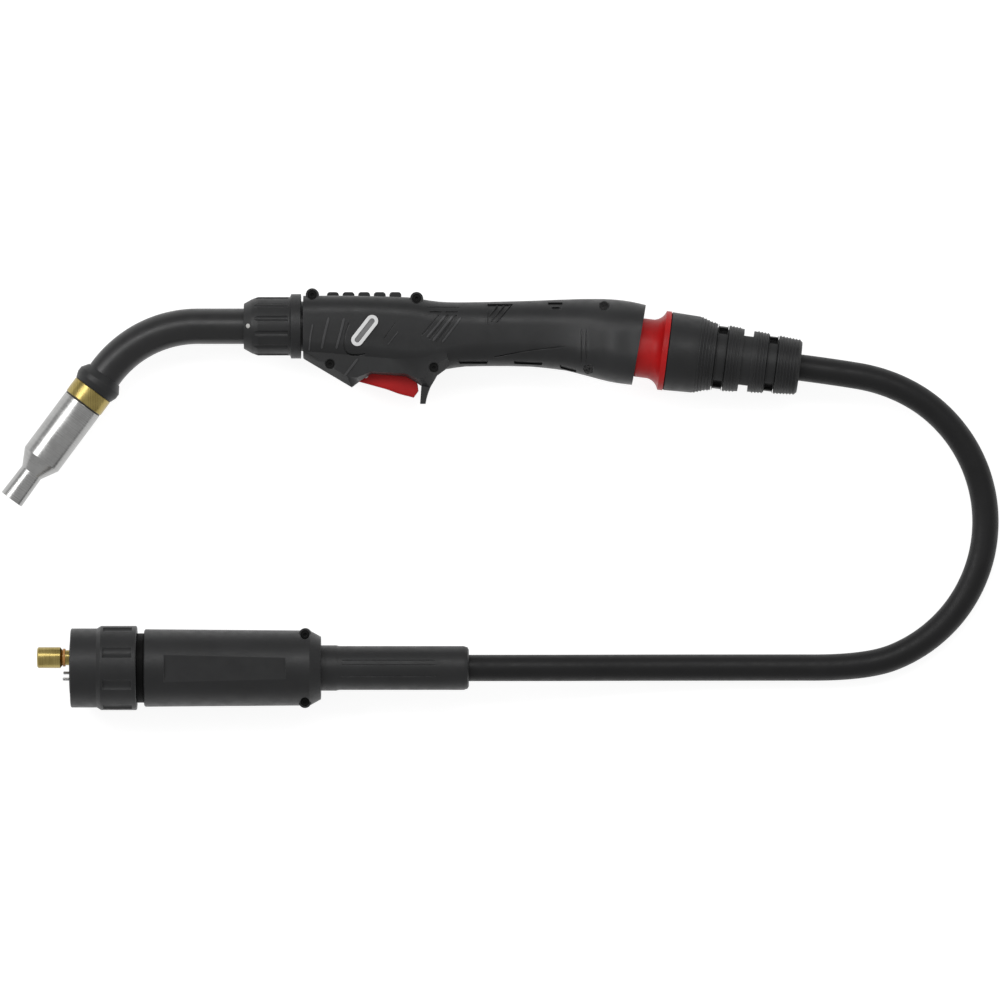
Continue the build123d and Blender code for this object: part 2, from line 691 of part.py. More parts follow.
def handle_body():
    """Both shells of the handle as one solid, before it is split on its middle plane."""
    end_face = axis_plane(BALL_X, BALL_Y, BODY_Z, END_PLANE_ANGLE)
    with BuildPart() as body:
        handle_loft(HANDLE_STATIONS, 0)
        with BuildSketch(upright(BODY_Z)) as skirt:
            with BuildLine():
                add(skirt_outline())
            make_face()
        extrude(skirt.sketch, amount=SKIRT_HALF, both=True)
        slope = cheek()
        add(slope)
        add(slope.mirror(upright(BODY_Z)))
        with BuildSketch(upright(BODY_Z)) as lugs:
            with Locations(*all_at(SCREWS[index] for index in LUG_SCREWS)):
                Circle(LUG_R)
        extrude(lugs.sketch, amount=LUG_HALF, both=True)
        vent_places = [(VENT_FIRST + vent * VENT_PITCH, HANDLE_STATIONS[0][1]) for vent in range(VENT_COUNT)]
        with BuildSketch(upright(BODY_Z)) as vents:
            with Locations(*all_at(vent_places)):
                RectangleRounded(VENT_LEN, VENT_H, VENT_CORNER)
        extrude(vents.sketch, amount=VENT_HALF, both=True)
        tube(NECK_LINE, -4.0, SPIGOT_LEN, NUT_SPIGOT_R, 0)
        add(handle_cavity(), mode=Mode.SUBTRACT)

        # slanted rear face
        with BuildSketch(cross_plane(end_face, END_PLANE_REACH)) as beyond:
            Rectangle(400, 400)
        extrude(beyond.sketch, amount=100, mode=Mode.SUBTRACT)

        # neck's bore, the power block's seat and the inner cable's passage
        tube(NECK_LINE, -12.0, SPIGOT_LEN + 1, NECK_R + TURN_GAP, 0, Mode.SUBTRACT)
        tube(NECK_LINE, -BLOCK_END - 1.0, -BLOCK_START + 3.0, BLOCK_R + SEAT_GAP, 0, Mode.SUBTRACT)
        passage = lead_path(FRONT_X + BLOCK_END, 0)
        with BuildSketch(Plane(origin=passage @ 0, z_dir=passage % 0)) as round_hole:
            Circle(CABLE_R + 0.2)
        sweep(round_hole.sketch, path=passage, mode=Mode.SUBTRACT)

        # ball seat, its throat and the flared mouth behind it
        revolve(ball_room(), axis=Axis(BALL_LINE.origin, BALL_LINE.x_dir), mode=Mode.SUBTRACT)

        # trigger slot
        with Locations((*at((SLOT_FRONT + SLOT_REAR) / 2, SLOT_TOP - 20.0), BODY_Z)):
            Box(SLOT_REAR - SLOT_FRONT, 40.0, 2 * SLOT_HALF, mode=Mode.SUBTRACT)

        # pivot pin
        with BuildSketch(upright(BODY_Z)) as pin_hole:
            with Locations(at(PIVOT_BACK, PIVOT_UP)):
                Circle(PIVOT_PIN_R + 0.04)
        extrude(pin_hole.sketch, amount=PIVOT_PIN_HALF + 0.1, both=True, mode=Mode.SUBTRACT)
    return body.part


def screw_half(index):
    """Half the length of a handle screw, which depends on where the handle holds it."""
    if index in LUG_SCREWS:
        return LUG_HALF
    return CHEEK_SCREW_HALF if index in CHEEK_SCREWS else REAR_SCREW_HALF


def handle_pieces():
    """The two shells, split on the middle plane, and their screws."""
    body = handle_body()
    with BuildPart() as screws:
        for index, place in enumerate(all_at(SCREWS)):
            half = screw_half(index)
            with BuildSketch(upright(BODY_Z + half - 2.6)) as head:
                with Locations(place):
                    Circle(SCREW_HEAD_R)
                    RegularPolygon(1.3, 6, mode=Mode.SUBTRACT)
            extrude(head.sketch, amount=1.8)
            with BuildSketch(upright(BODY_Z - half + 2.0)) as shank:
                with Locations(place):
                    Circle(SCREW_SHANK_R)
            extrude(shank.sketch, amount=2 * half - 4.6)
    finish(screws, "handle_screws")

    for name, keep in (("handle_shell_right", Keep.TOP), ("handle_shell_left", Keep.BOTTOM)):
        with BuildPart() as shell:
            add(body)
            for index, place in enumerate(all_at(SCREWS)):
                half = screw_half(index)
                with BuildSketch(upright(BODY_Z + half - 2.7)) as sink:
                    with Locations(place):
                        Circle(SCREW_HEAD_R + SEAT_GAP)
                extrude(sink.sketch, amount=40, mode=Mode.SUBTRACT)
                with BuildSketch(upright(BODY_Z - half + 1.9)) as bore:
                    with Locations(place):
                        Circle(SCREW_SHANK_R + 0.05)
                extrude(bore.sketch, amount=2 * half, mode=Mode.SUBTRACT)
            split(bisect_by=upright(BODY_Z), keep=keep)
        finish(shell, name)


# ---------------------------------------------------------------- trigger and switch
def trigger_pieces():
    """The trigger, its pivot pin and spring, and the switch that it presses."""
    pivot_x, pivot_y = at(PIVOT_BACK, PIVOT_UP)
    pad_y = pivot_y + TRIGGER_PAD_H
    plunger_x = pivot_x + PLUNGER_ARM
    pivot_plane = Plane((pivot_x, pivot_y, BODY_Z))
    pad_rear = (PLUNGER_ARM + 3.0, TRIGGER_PAD_H)
    pad_front = (PLUNGER_ARM - 2.6, TRIGGER_PAD_H)
    with BuildPart() as trigger:
        with BuildSketch(pivot_plane) as side:
            with BuildLine():
                Polyline((-5.0, -2.6), (-4.4, -3.9), (12.0, -8.4))
                Spline((12.0, -8.4), (23.0, -12.2), (31.4, -14.4), tangents=((1, -0.28), (1, -0.34)))
                rear_edge = ((34.6, -10.0), (34.2, -5.8), (30.0, 1.4), (PLUNGER_ARM + 6.0, 5.8))
                front_edge = ((3.0, 4.8), (-2.4, 4.0), (-5.0, 1.6), (-5.0, -2.6))
                Polyline((31.4, -14.4), *rear_edge, pad_rear, pad_front, *front_edge)
            make_face()
            Circle(PIVOT_PIN_R + TURN_GAP, mode=Mode.SUBTRACT)
        extrude(side.sketch, amount=TRIGGER_HALF, both=True)
        lower = trigger.edges().filter_by(GeomType.BSPLINE)
        fillet(lower, 1.6)
        with BuildSketch(pivot_plane) as spring_room:
            Circle(SPRING_R + SPRING_WIRE_R + 0.5)
            with Locations((6.0, 7.0)):
                Rectangle(12.0, 12.0)
        extrude(spring_room.sketch, amount=2.4, both=True, mode=Mode.SUBTRACT)
    finish(trigger, "trigger")

    with BuildPart() as trigger_pin:
        with BuildSketch(pivot_plane) as round_pin:
            Circle(PIVOT_PIN_R)
        extrude(round_pin.sketch, amount=PIVOT_PIN_HALF, both=True)
    finish(trigger_pin, "trigger_pin")

    pitch = 3.6 / SPRING_TURNS
    with BuildPart() as trigger_spring:
        with BuildLine():
            coil = Helix(pitch, 3.6, SPRING_R, center=(pivot_x, pivot_y, BODY_Z - 1.8))
        with BuildSketch(Plane(origin=coil @ 0, z_dir=coil % 0)):
            Circle(SPRING_WIRE_R)
        sweep(is_frenet=True)
    finish(trigger_spring, "trigger_spring")

    switch_floor = pad_y + PLUNGER_GAP + PLUNGER_SHOWS
    switch_x0 = plunger_x - 4.0
    plunger_z = 2 * PLUNGER_HALF
    with BuildPart() as switch_plunger:
        height = PLUNGER_SHOWS + PLUNGER_HIDDEN
        with Locations((plunger_x, pad_y + PLUNGER_GAP + height / 2, BODY_Z)):
            Box(plunger_z, height, plunger_z)
    finish(switch_plunger, "switch_plunger")

    switch_mid_x = switch_x0 + SWITCH_LEN / 2
    pin_xs = (switch_mid_x - SWITCH_PIN_PITCH / 2, switch_mid_x + SWITCH_PIN_PITCH / 2)
    pin_y = switch_floor + SWITCH_H - 2.2
    with BuildPart() as switch_body:
        with Locations((switch_mid_x, switch_floor + SWITCH_H / 2, BODY_Z)):
            Box(SWITCH_LEN, SWITCH_H, 2 * SWITCH_HALF)
        chamfer(switch_body.edges().filter_by(Axis.Z), 0.5)
        room = PLUNGER_HIDDEN + PLUNGER_ROOM
        side_gap = plunger_z + 2 * TURN_GAP
        with Locations((plunger_x, switch_floor + room / 2 - 0.5, BODY_Z)):
            Box(side_gap, room + 1.0, side_gap, mode=Mode.SUBTRACT)
        with BuildSketch(upright(BODY_Z)) as pin_holes:
            with Locations(*[(x, pin_y) for x in pin_xs]):
                Circle(SWITCH_PIN_R + 0.05)
        extrude(pin_holes.sketch, amount=SWITCH_HALF, both=True, mode=Mode.SUBTRACT)
    finish(switch_body, "switch_body")

    pin_half = HANDLE_STATIONS[2][3] - WALL - 0.4
    with BuildPart() as switch_pins:
        with BuildSketch(upright(BODY_Z)) as pegs:
            with Locations(*[(x, pin_y) for x in pin_xs]):
                Circle(SWITCH_PIN_R)
        extrude(pegs.sketch, amount=pin_half, both=True)
    finish(switch_pins, "switch_pins")

    tab_x = switch_x0 + SWITCH_LEN
    lead_end = FRONT_X + BULKHEADS[2][0] - 0.2
    with BuildPart() as switch_leads:
        for side in (-1, 1):
            z = BODY_Z + side * 1.7
            start = (tab_x + 0.1, switch_floor + 3.0, z)
            corner = (tab_x + 9.0, switch_floor + 3.0, z)
            level = NECK_Y - CABLE_R - 1.2
            with BuildLine() as route:
                rise = ((tab_x + 17.0, level, z), (lead_end, level - 3.0, z))
                FilletPolyline(start, corner, *rise, radius=6)
            with BuildSketch(Plane(origin=route.line @ 0, z_dir=route.line % 0)) as wire:
                Circle(0.8)
            sweep(wire.sketch, path=route.line)
    finish(switch_leads, "switch_leads")


# ---------------------------------------------------------------- power block and inner cable
def power_pieces():
    """The brass block that the neck plugs into, the ferrule and the cable behind it."""
    root_bore = ROOT_R + TURN_GAP
    with BuildPart() as power_block:
        tube(NECK_LINE, -BLOCK_END, -BLOCK_START, BLOCK_R)
        chamfer(power_block.edges().filter_by(GeomType.CIRCLE), 0.6)
        tube(NECK_LINE, -ROOT_END - 0.5, 0, root_bore, 0, Mode.SUBTRACT)
        tube(NECK_LINE, -BLOCK_END - 1.0, 0, LINER_R, 0, Mode.SUBTRACT)
    finish(power_block, "power_block")

    with BuildPart() as cable_ferrule:
        tube(NECK_LINE, -FERRULE_END, -BLOCK_END, FERRULE_R, CABLE_R + 0.05)
        for station in (41.0, 45.5):
            tube(NECK_LINE, -station - 1.5, -station, FERRULE_R + 1, FERRULE_R - 0.6, Mode.SUBTRACT)
    finish(cable_ferrule, "cable_ferrule")

    with BuildPart() as handle_cable:
        path = lead_path(FRONT_X + BLOCK_END + 0.1, LEAD_GAP)
        with BuildSketch(Plane(origin=path @ 0, z_dir=path % 0)) as round_cable:
            Circle(CABLE_R)
        sweep(round_cable.sketch, path=path)
    finish(handle_cable, "handle_cable")


# ---------------------------------------------------------------- ball joint and boot
def swivel_pieces():
    """Ball seat ring, the red knuckle with its collar, and the slotted boot."""
    seat_in = BALL_R + BODY_GAP
    seat_out = seat_in + SEAT_WALL
    with BuildPart() as ball_seat:
        with BuildSketch(BALL_LINE) as zone:
            with BuildLine():
                for radius in (seat_in, seat_out):
                    front = (SEAT_FRONT, sqrt(radius**2 - SEAT_FRONT**2))
                    rear = (SEAT_REAR, sqrt(radius**2 - SEAT_REAR**2))
                    ThreePointArc(front, (0, radius), rear)
                for end in (SEAT_FRONT, SEAT_REAR):
                    Line((end, sqrt(seat_in**2 - end**2)), (end, sqrt(seat_out**2 - end**2)))
            make_face()
        revolve(zone.sketch, axis=Axis(BALL_LINE.origin, BALL_LINE.x_dir))
    finish(ball_seat, "ball_seat")

    flare_r = KNUCKLE_BORE_R - KNUCKLE_BORE_FLARE * BALL_FRONT
    neck_start = sqrt(BALL_R**2 - BALL_NECK_R**2)
    ball_start = (BALL_FRONT, sqrt(BALL_R**2 - BALL_FRONT**2))
    recess_start = BOOT_START - 9.0
    recess_r = 16.2
    with BuildPart() as swivel_knuckle:
        with BuildSketch(BALL_LINE) as section:
            with BuildLine():
                Polyline((0, KNUCKLE_BORE_R), (BALL_FRONT, flare_r), ball_start)
                ThreePointArc(ball_start, (0, BALL_R), (neck_start, BALL_NECK_R))
                Polyline(
                    (neck_start, BALL_NECK_R),
                    (SHROUD_START - 2.0, BALL_NECK_R),
                    (SHROUD_START, SHROUD_R - 1.5),
                    (SHROUD_START + 1.5, SHROUD_R),
                    (SHROUD_END, SHROUD_R),
                )
                flare_mid = (SHROUD_END + 4.8, SHROUD_R + 2.3)
                ThreePointArc((SHROUD_END, SHROUD_R), flare_mid, (COLLAR_START, COLLAR_R))
                Polyline(
                    (COLLAR_START, COLLAR_R),
                    (COLLAR_END, COLLAR_R),
                    (COLLAR_END, recess_r),
                    (recess_start, recess_r),
                    (recess_start, KNUCKLE_BORE_R),
                    (0, KNUCKLE_BORE_R),
                )
            make_face()
        revolve(section.sketch, axis=Axis(BALL_LINE.origin, BALL_LINE.x_dir))
    finish(swivel_knuckle, "swivel_knuckle")

    boot_bore = CABLE_R + BODY_GAP
    with BuildPart() as cable_boot:
        turn(
            BALL_LINE,
            (
                (recess_start + SEAT_GAP, 12.0),
                (BOOT_END - 28.0, 12.0),
                (BOOT_END - 22.0, boot_bore),
                (BOOT_END, boot_bore),
                (BOOT_END, BOOT_END_R - 1.2),
                (BOOT_END - 1.2, BOOT_END_R),
                (BOOT_STEP, BOOT_STEP_R),
                (BOOT_SHOULDER, BOOT_SHOULDER_R),
                (BOOT_START + 0.8, BOOT_R),
                (BOOT_START, BOOT_R - 0.8),
                (BOOT_START, recess_r - SEAT_GAP),
                (recess_start + SEAT_GAP, recess_r - SEAT_GAP),
            ),
        )
        for ring, (start, width) in enumerate(BOOT_SLOTS):
            share = (start - BOOT_STEP) / (BOOT_END - BOOT_STEP)
            outer = BOOT_STEP_R + share * (BOOT_END_R - BOOT_STEP_R)
            tube(BALL_LINE, start, start + width, outer + 2, outer - BOOT_GROOVE_D, Mode.SUBTRACT)
            angles = (0, 180) if ring % 2 else (30, 150, 210, 330)
            with BuildSketch(cross_plane(BALL_LINE, start)) as pockets:
                for angle in angles:
                    with PolarLocations(outer, 1, start_angle=angle):
                        Rectangle(2 * BOOT_SLOT_DEPTH, 2.4 * BOOT_RIB_W if ring % 2 else BOOT_RIB_W)
            extrude(pockets.sketch, amount=width, mode=Mode.SUBTRACT)
    finish(cable_boot, "cable_boot")


# ---------------------------------------------------------------- cable
def corner_radii(points):
    """Radius of each inner corner: a share of its shorter run over the half turn's tangent."""
    radii = []
    for before, here, after in zip(points, points[1:], points[2:]):
        first = Vector(here) - Vector(before)
        second = Vector(after) - Vector(here)
        half_turn = radians(first.get_angle(second)) / 2
        radii.append(RUN_SHARE * min(first.length, second.length) / tan(half_turn))
    return radii


def cable_pieces():
    """The coaxial cable: its free run and the straight ends inside the boot and connector."""
    radii = corner_radii(CABLE_POINTS)
    with BuildLine() as route:
        FilletPolyline(*CABLE_POINTS, radius=radii)
    path = route.wire()
    print("cable arc radii", [round(radius, 1) for radius in radii])
    print("cable length", round(path.length, 1))
    with BuildPart() as cable:
        with BuildSketch(Plane(origin=path @ 0, z_dir=path % 0)) as round_cable:
            Circle(CABLE_R)
        sweep(round_cable.sketch, path=path)
    rod_volume = path.length * pi * CABLE_R**2
    print("cable volume over section times length", round(cable.part.volume / rod_volume, 5))
    finish(cable, "cable")

    boot_end = (Vector(CABLE_POINTS[0]) - BALL_LINE.origin).dot(BALL_LINE.x_dir)
    with BuildPart() as cable_end_boot:
        tube(BALL_LINE, LEAD_GAP, boot_end - CABLE_SEAM, CABLE_R)
    finish(cable_end_boot, "cable_end_boot")

    plug_end = CABLE_POINTS[-1][0] - PLUG_X
    with BuildPart() as cable_end_plug:
        tube(PLUG_LINE, PLUG_CABLE_START, plug_end, CABLE_R)
    finish(cable_end_plug, "cable_end_plug")


# ---------------------------------------------------------------- connector
def pin_place(across, along):
    """Point on the connector's face, in its clocked directions, as (y, z) offsets."""
    clock = radians(PLUG_CLOCK)
    return (along * cos(clock) - across * sin(clock), along * sin(clock) + across * cos(clock))


def offset_line(place):
    """The connector's axis plane moved sideways to a pin."""
    return Plane(origin=PLUG_LINE.origin + Vector(0, *place), x_dir=PLUG_LINE.x_dir, z_dir=PLUG_LINE.z_dir)


POWER_LINE = offset_line(pin_place(0, PIN_OFFSET))
CONTROL_LINES = [offset_line(pin_place(side * CONTROL_PIN_PITCH / 2, -CONTROL_PIN_DROP)) for side in (1, -1)]


def contact_pieces():
    """Power pin, control pins, their sleeves and the insulating body that holds them."""
    with BuildPart() as power_pin:
        turn(
            POWER_LINE,
            (
                (PIN_TIP, PIN_BORE_R),
                (PIN_STEP, PIN_BORE_R),
                (PIN_STEP, PIN_REAR_BORE_R),
                (PIN_TAIL, PIN_REAR_BORE_R),
                (PIN_TAIL, PIN_R - 0.5),
                (2.0, PIN_R - 0.5),
                (0.0, PIN_NECK_R),
                (PIN_NECK + 1.6, PIN_NECK_R),
                (PIN_NECK, PIN_R),
                (PIN_TIP + 0.8, PIN_R),
                (PIN_TIP, PIN_R - 0.8),
            ),
        )
    finish(power_pin, "power_pin")

    with BuildPart() as power_pin_o_ring:
        tube(POWER_LINE, PIN_NECK + 1.75, PIN_NECK + 3.4, PIN_NECK_R + 0.9, PIN_NECK_R + 0.05)
    finish(power_pin_o_ring, "power_pin_o_ring")

    control_end = CONTROL_PIN_TAIL + CONTROL_TRAVEL + 1.0
    for name, line in zip(("a", "b"), CONTROL_LINES):
        with BuildPart() as control_pin:
            turn(
                line,
                (
                    (CONTROL_PIN_TIP, 0),
                    (CONTROL_PIN_TAIL, 0),
                    (CONTROL_PIN_TAIL, CONTROL_PIN_R),
                    (CONTROL_PIN_STEP, CONTROL_PIN_R),
                    (CONTROL_PIN_STEP, CONTROL_TIP_R),
                    (CONTROL_PIN_TIP + 0.4, CONTROL_TIP_R),
                    (CONTROL_PIN_TIP, CONTROL_TIP_R - 0.4),
                ),
            )
        finish(control_pin, f"control_pin_{name}")
    with BuildPart() as control_sleeves:
        for line in CONTROL_LINES:
            tube(line, BODY_FACE, control_end, CONTROL_SLEEVE_R, CONTROL_PIN_R + TURN_GAP)
            tube(line, control_end, control_end + 6.0, CONTROL_SLEEVE_R, 0)
    finish(control_sleeves, "control_sleeves")

    with BuildPart() as plug_body:
        tube(PLUG_LINE, BODY_FACE, BODY_END, BODY_R)
        tube(POWER_LINE, -5, 200, PIN_R - 0.5 + SEAT_GAP, 0, Mode.SUBTRACT)
        for line in CONTROL_LINES:
            tube(line, -5, control_end + 6.1, CONTROL_SLEEVE_R + 0.05, 0, Mode.SUBTRACT)
    finish(plug_body, "plug_body")

    with BuildPart() as nut_retainer:
        tube(PLUG_LINE, RETAINER_START, RETAINER_END, RETAINER_R, BODY_R + SEAT_GAP)
    finish(nut_retainer, "nut_retainer")


def connector_pieces():
    """Ring nut, collar, the two shells with their screws, the sleeve and the cable clamp."""
    with BuildPart() as ring_nut:
        turn(
            PLUG_LINE,
            (
                (0.8, RING_NUT_BORE_R),
                (RING_NUT_LIP, RING_NUT_BORE_R),
                (RING_NUT_LIP, RING_NUT_LIP_R),
                (RING_NUT_END, RING_NUT_LIP_R),
                (RING_NUT_END, RING_NUT_REAR_R - 0.6),
                (RING_NUT_END - 0.6, RING_NUT_REAR_R),
                (RING_NUT_STEP_END, RING_NUT_REAR_R),
                (RING_NUT_STEP, RING_NUT_FRONT_R),
                (0.6, RING_NUT_FRONT_R),
                (0.0, RING_NUT_FRONT_R - 0.6),
                (0.0, RING_NUT_BORE_R + 0.8),
            ),
        )
        cut_at = RING_NUT_REAR_R + RING_NUT_PAD_CUT_R - RING_NUT_PAD_CUT_D
        with BuildSketch(cross_plane(PLUG_LINE, RING_NUT_STEP_END + 1.5)) as scallops:
            with PolarLocations(cut_at, RING_NUT_PADS, start_angle=180 / RING_NUT_PADS):
                Circle(RING_NUT_PAD_CUT_R)
        extrude(scallops.sketch, amount=RING_NUT_END - RING_NUT_STEP_END - 4.5, mode=Mode.SUBTRACT)
        for station in range(3, 15, 2):
            tube(PLUG_LINE, station, station + 1, RING_NUT_BORE_R + 0.7, RING_NUT_BORE_R - 1, Mode.SUBTRACT)
    finish(ring_nut, "ring_nut")

    collar_start = RING_NUT_END + BODY_GAP
    with BuildPart() as plug_collar:
        tube(PLUG_LINE, collar_start, COLLAR_PLUG_END, COLLAR_PLUG_R, BODY_R + SEAT_GAP)
        tube(PLUG_LINE, COLLAR_PLUG_END, COLLAR_PLUG_END + 6.0, 20.0, BODY_R + SEAT_GAP)
    finish(plug_collar, "plug_collar")

    sleeve_bore = CABLE_R + SEAT_GAP
    with BuildPart() as plug_sleeve:
        turn(
            PLUG_LINE,
            (
                (PLUG_SLEEVE_START - 6.0, sleeve_bore),
                (PLUG_SLEEVE_END, sleeve_bore),
                (PLUG_SLEEVE_END, PLUG_SLEEVE_END_R - 2.4),
                (PLUG_SLEEVE_END - 0.9, PLUG_SLEEVE_END_R - 0.8),
                (PLUG_SLEEVE_END - 3.4, PLUG_SLEEVE_END_R),
                (PLUG_SHELL_END + 12.0, PLUG_SLEEVE_END_R),
                (PLUG_SHELL_END + 10.0, PLUG_SLEEVE_R),
                (PLUG_SLEEVE_FLANGE, PLUG_SLEEVE_R),
                (PLUG_SLEEVE_FLANGE, PLUG_SLEEVE_FLANGE_R),
                (PLUG_SLEEVE_START - 6.0, PLUG_SLEEVE_FLANGE_R),
            ),
        )
    finish(plug_sleeve, "plug_sleeve")

    with BuildPart() as plug_cable_clamp:
        tube(PLUG_LINE, CLAMP_START, PLUG_CABLE_START - 0.1, CLAMP_R)
        tube(PLUG_LINE, PLUG_CABLE_START - 0.1, CLAMP_END, CLAMP_R, CABLE_R + 0.05)
        tube(POWER_LINE, 0, PLUG_CABLE_START + 1, PIN_REAR_BORE_R, 0, Mode.SUBTRACT)
        with BuildSketch(cross_plane(PLUG_LINE, CLAMP_START)) as flats:
            with PolarLocations(CLAMP_R + 4.0, 4):
                Rectangle(10.0, 14.0)
        extrude(flats.sketch, amount=8.0, mode=Mode.SUBTRACT)
    finish(plug_cable_clamp, "plug_cable_clamp")

    screw_places = [(PLUG_X + PLUG_SCREW_AT, PLUG_Y + side * PLUG_SCREW_OFF) for side in (1, -1)]
    room_end = PLUG_SLEEVE_FLANGE + SEAT_GAP
    with BuildPart() as housing:
        turn(
            PLUG_LINE,
            (
                (PLUG_SHELL_START, 0),
                (PLUG_SHELL_END, 0),
                (PLUG_SHELL_END, PLUG_TAIL_R),
                (PLUG_SHELL_TAIL, PLUG_SHELL_REAR_R),
                (PLUG_SHELL_START + 0.8, PLUG_SHELL_R),
                (PLUG_SHELL_START, PLUG_SHELL_R - 0.8),
            ),
        )
        with BuildSketch(upright(PLUG_Z)) as lugs:
            with Locations(*screw_places):
                Circle(PLUG_LUG_R)
        extrude(lugs.sketch, amount=PLUG_LUG_HALF, both=True)
        room = (COLLAR_PLUG_END + 6.1, PLUG_SHELL_TAIL - 8.0)
        tube(PLUG_LINE, *room, PLUG_SHELL_REAR_R - PLUG_WALL, 0, Mode.SUBTRACT)
        tube(PLUG_LINE, PLUG_SHELL_START - 1, COLLAR_PLUG_END + 7, 20.0 + SEAT_GAP, 0, Mode.SUBTRACT)
        tube(PLUG_LINE, PLUG_SHELL_TAIL - 9.0, room_end, PLUG_SLEEVE_FLANGE_R + SEAT_GAP, 0, Mode.SUBTRACT)
        tube(PLUG_LINE, room_end - 1, PLUG_SHELL_END + 1, PLUG_SLEEVE_R + SEAT_GAP, 0, Mode.SUBTRACT)
        for side in (1, -1):
            panel_x = PLUG_X + sum(PLUG_PANEL) / 2
            panel_z = PLUG_Z + side * (PLUG_SHELL_REAR_R - PLUG_PANEL_DEPTH + 5.0)
            with Locations((panel_x, PLUG_Y, panel_z)):
                Box(PLUG_PANEL[1] - PLUG_PANEL[0], 2 * PLUG_PANEL_HALF, 10.0, mode=Mode.SUBTRACT)
    with BuildPart() as connector_screws:
        for place in screw_places:
            with BuildSketch(upright(PLUG_Z + PLUG_LUG_HALF - 2.6)) as head:
                with Locations(place):
                    Circle(SCREW_HEAD_R)
                    RegularPolygon(1.3, 6, mode=Mode.SUBTRACT)
            extrude(head.sketch, amount=1.8)
            with BuildSketch(upright(PLUG_Z - PLUG_LUG_HALF + 2.0)) as shank:
                with Locations(place):
                    Circle(SCREW_SHANK_R)
            extrude(shank.sketch, amount=2 * PLUG_LUG_HALF - 4.6)
    finish(connector_screws, "connector_screws")
    for name, keep in (("connector_shell_upper", Keep.TOP), ("connector_shell_lower", Keep.BOTTOM)):
        with BuildPart() as shell:
            add(housing.part)
            for place in screw_places:
                with BuildSketch(upright(PLUG_Z + PLUG_LUG_HALF - 2.7)) as sink:
                    with Locations(place):
                        Circle(SCREW_HEAD_R + SEAT_GAP)
                extrude(sink.sketch, amount=40, mode=Mode.SUBTRACT)
                with BuildSketch(upright(PLUG_Z - PLUG_LUG_HALF + 1.9)) as bore:
                    with Locations(place):
                        Circle(SCREW_SHANK_R + 0.05)
                extrude(bore.sketch, amount=2 * PLUG_LUG_HALF, mode=Mode.SUBTRACT)
            split(bisect_by=upright(PLUG_Z), keep=keep)
        finish(shell, name)


# ---------------------------------------------------------------- badge
def badge_pieces():
    """The plain stadium badge on the handle's side: a bright rim round a grey plate."""
    face_z = BODY_Z + HANDLE_STATIONS[1][3] + 0.05
    badge = Location(at(BADGE_BACK, BADGE_UP), BADGE_ANGLE)
    with BuildPart() as badge_rim:
        with BuildSketch(upright(face_z)) as rim:
            with Locations(badge):
                SlotOverall(BADGE_LEN, BADGE_W)
                SlotOverall(BADGE_LEN - 2 * BADGE_RIM, BADGE_W - 2 * BADGE_RIM, mode=Mode.SUBTRACT)
        extrude(rim.sketch, amount=BADGE_H)
    finish(badge_rim, "badge_rim")
    with BuildPart() as badge_plate:
        with BuildSketch(upright(face_z)) as plate:
            with Locations(badge):
                SlotOverall(BADGE_LEN - 2 * BADGE_RIM - 0.1, BADGE_W - 2 * BADGE_RIM - 0.1)
        extrude(plate.sketch, amount=BADGE_H - 0.5)
    finish(badge_plate, "badge_plate")


os.makedirs("parts", exist_ok=True)
neck_pieces()
nozzle_end_pieces()
clamp_pieces()
handle_pieces()
trigger_pieces()
power_pieces()
swivel_pieces()
cable_pieces()
contact_pieces()
connector_pieces()
badge_pieces()
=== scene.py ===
import json
from math import cos, pi, radians, sin, tau

import bmesh
import bpy
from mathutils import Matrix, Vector


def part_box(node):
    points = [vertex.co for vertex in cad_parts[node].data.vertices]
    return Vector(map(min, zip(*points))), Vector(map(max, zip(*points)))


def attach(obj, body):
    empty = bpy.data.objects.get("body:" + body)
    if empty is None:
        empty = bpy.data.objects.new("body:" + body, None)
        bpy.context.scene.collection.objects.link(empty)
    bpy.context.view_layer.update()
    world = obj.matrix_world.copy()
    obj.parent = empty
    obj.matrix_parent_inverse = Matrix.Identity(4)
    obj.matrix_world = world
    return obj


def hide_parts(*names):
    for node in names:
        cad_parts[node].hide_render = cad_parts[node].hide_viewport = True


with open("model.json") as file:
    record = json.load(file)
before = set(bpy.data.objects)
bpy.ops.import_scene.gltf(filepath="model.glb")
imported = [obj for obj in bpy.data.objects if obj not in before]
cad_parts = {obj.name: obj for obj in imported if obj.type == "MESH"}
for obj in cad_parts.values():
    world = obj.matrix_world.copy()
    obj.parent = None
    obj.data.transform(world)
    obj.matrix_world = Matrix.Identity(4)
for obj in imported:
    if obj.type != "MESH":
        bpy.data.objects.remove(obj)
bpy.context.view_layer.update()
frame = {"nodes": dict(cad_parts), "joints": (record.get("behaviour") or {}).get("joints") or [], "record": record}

# Looks of a MIG welding torch that lies on its side. Lengths are in metres, except in names
# that end in MM and in the handle's tables. A handle place is (back from the handle's front
# face, up from the neck's axis) in mm. A station is a distance along an axis.

MM = 0.001
NODES = frame["nodes"]
JOINTS = {joint["name"]: joint for joint in frame["joints"]}
BALL = Vector(JOINTS["swivel_roll"]["pos_m"])
BOOT_AXIS = Vector(JOINTS["swivel_roll"]["axis"])
NECK_FRONT = Vector(JOINTS["neck_turn"]["pos_m"])
TIP_AXIS = Vector(JOINTS["nozzle_pull"]["axis"])
PLUG = Vector(JOINTS["ring_nut_turn"]["pos_m"])
X_AXIS = Vector((1, 0, 0))
Z_AXIS = Vector((0, 0, 1))
MIDDLE_Z = NECK_FRONT.z
NEAR_AXIS = 0.00001  # the least radius of a turned outline, which closes it without a pole
MERGE_DISTANCE = 2e-6  # points of a CAD mesh that are this near are one point
CABLE_RADIUS = 0.00875

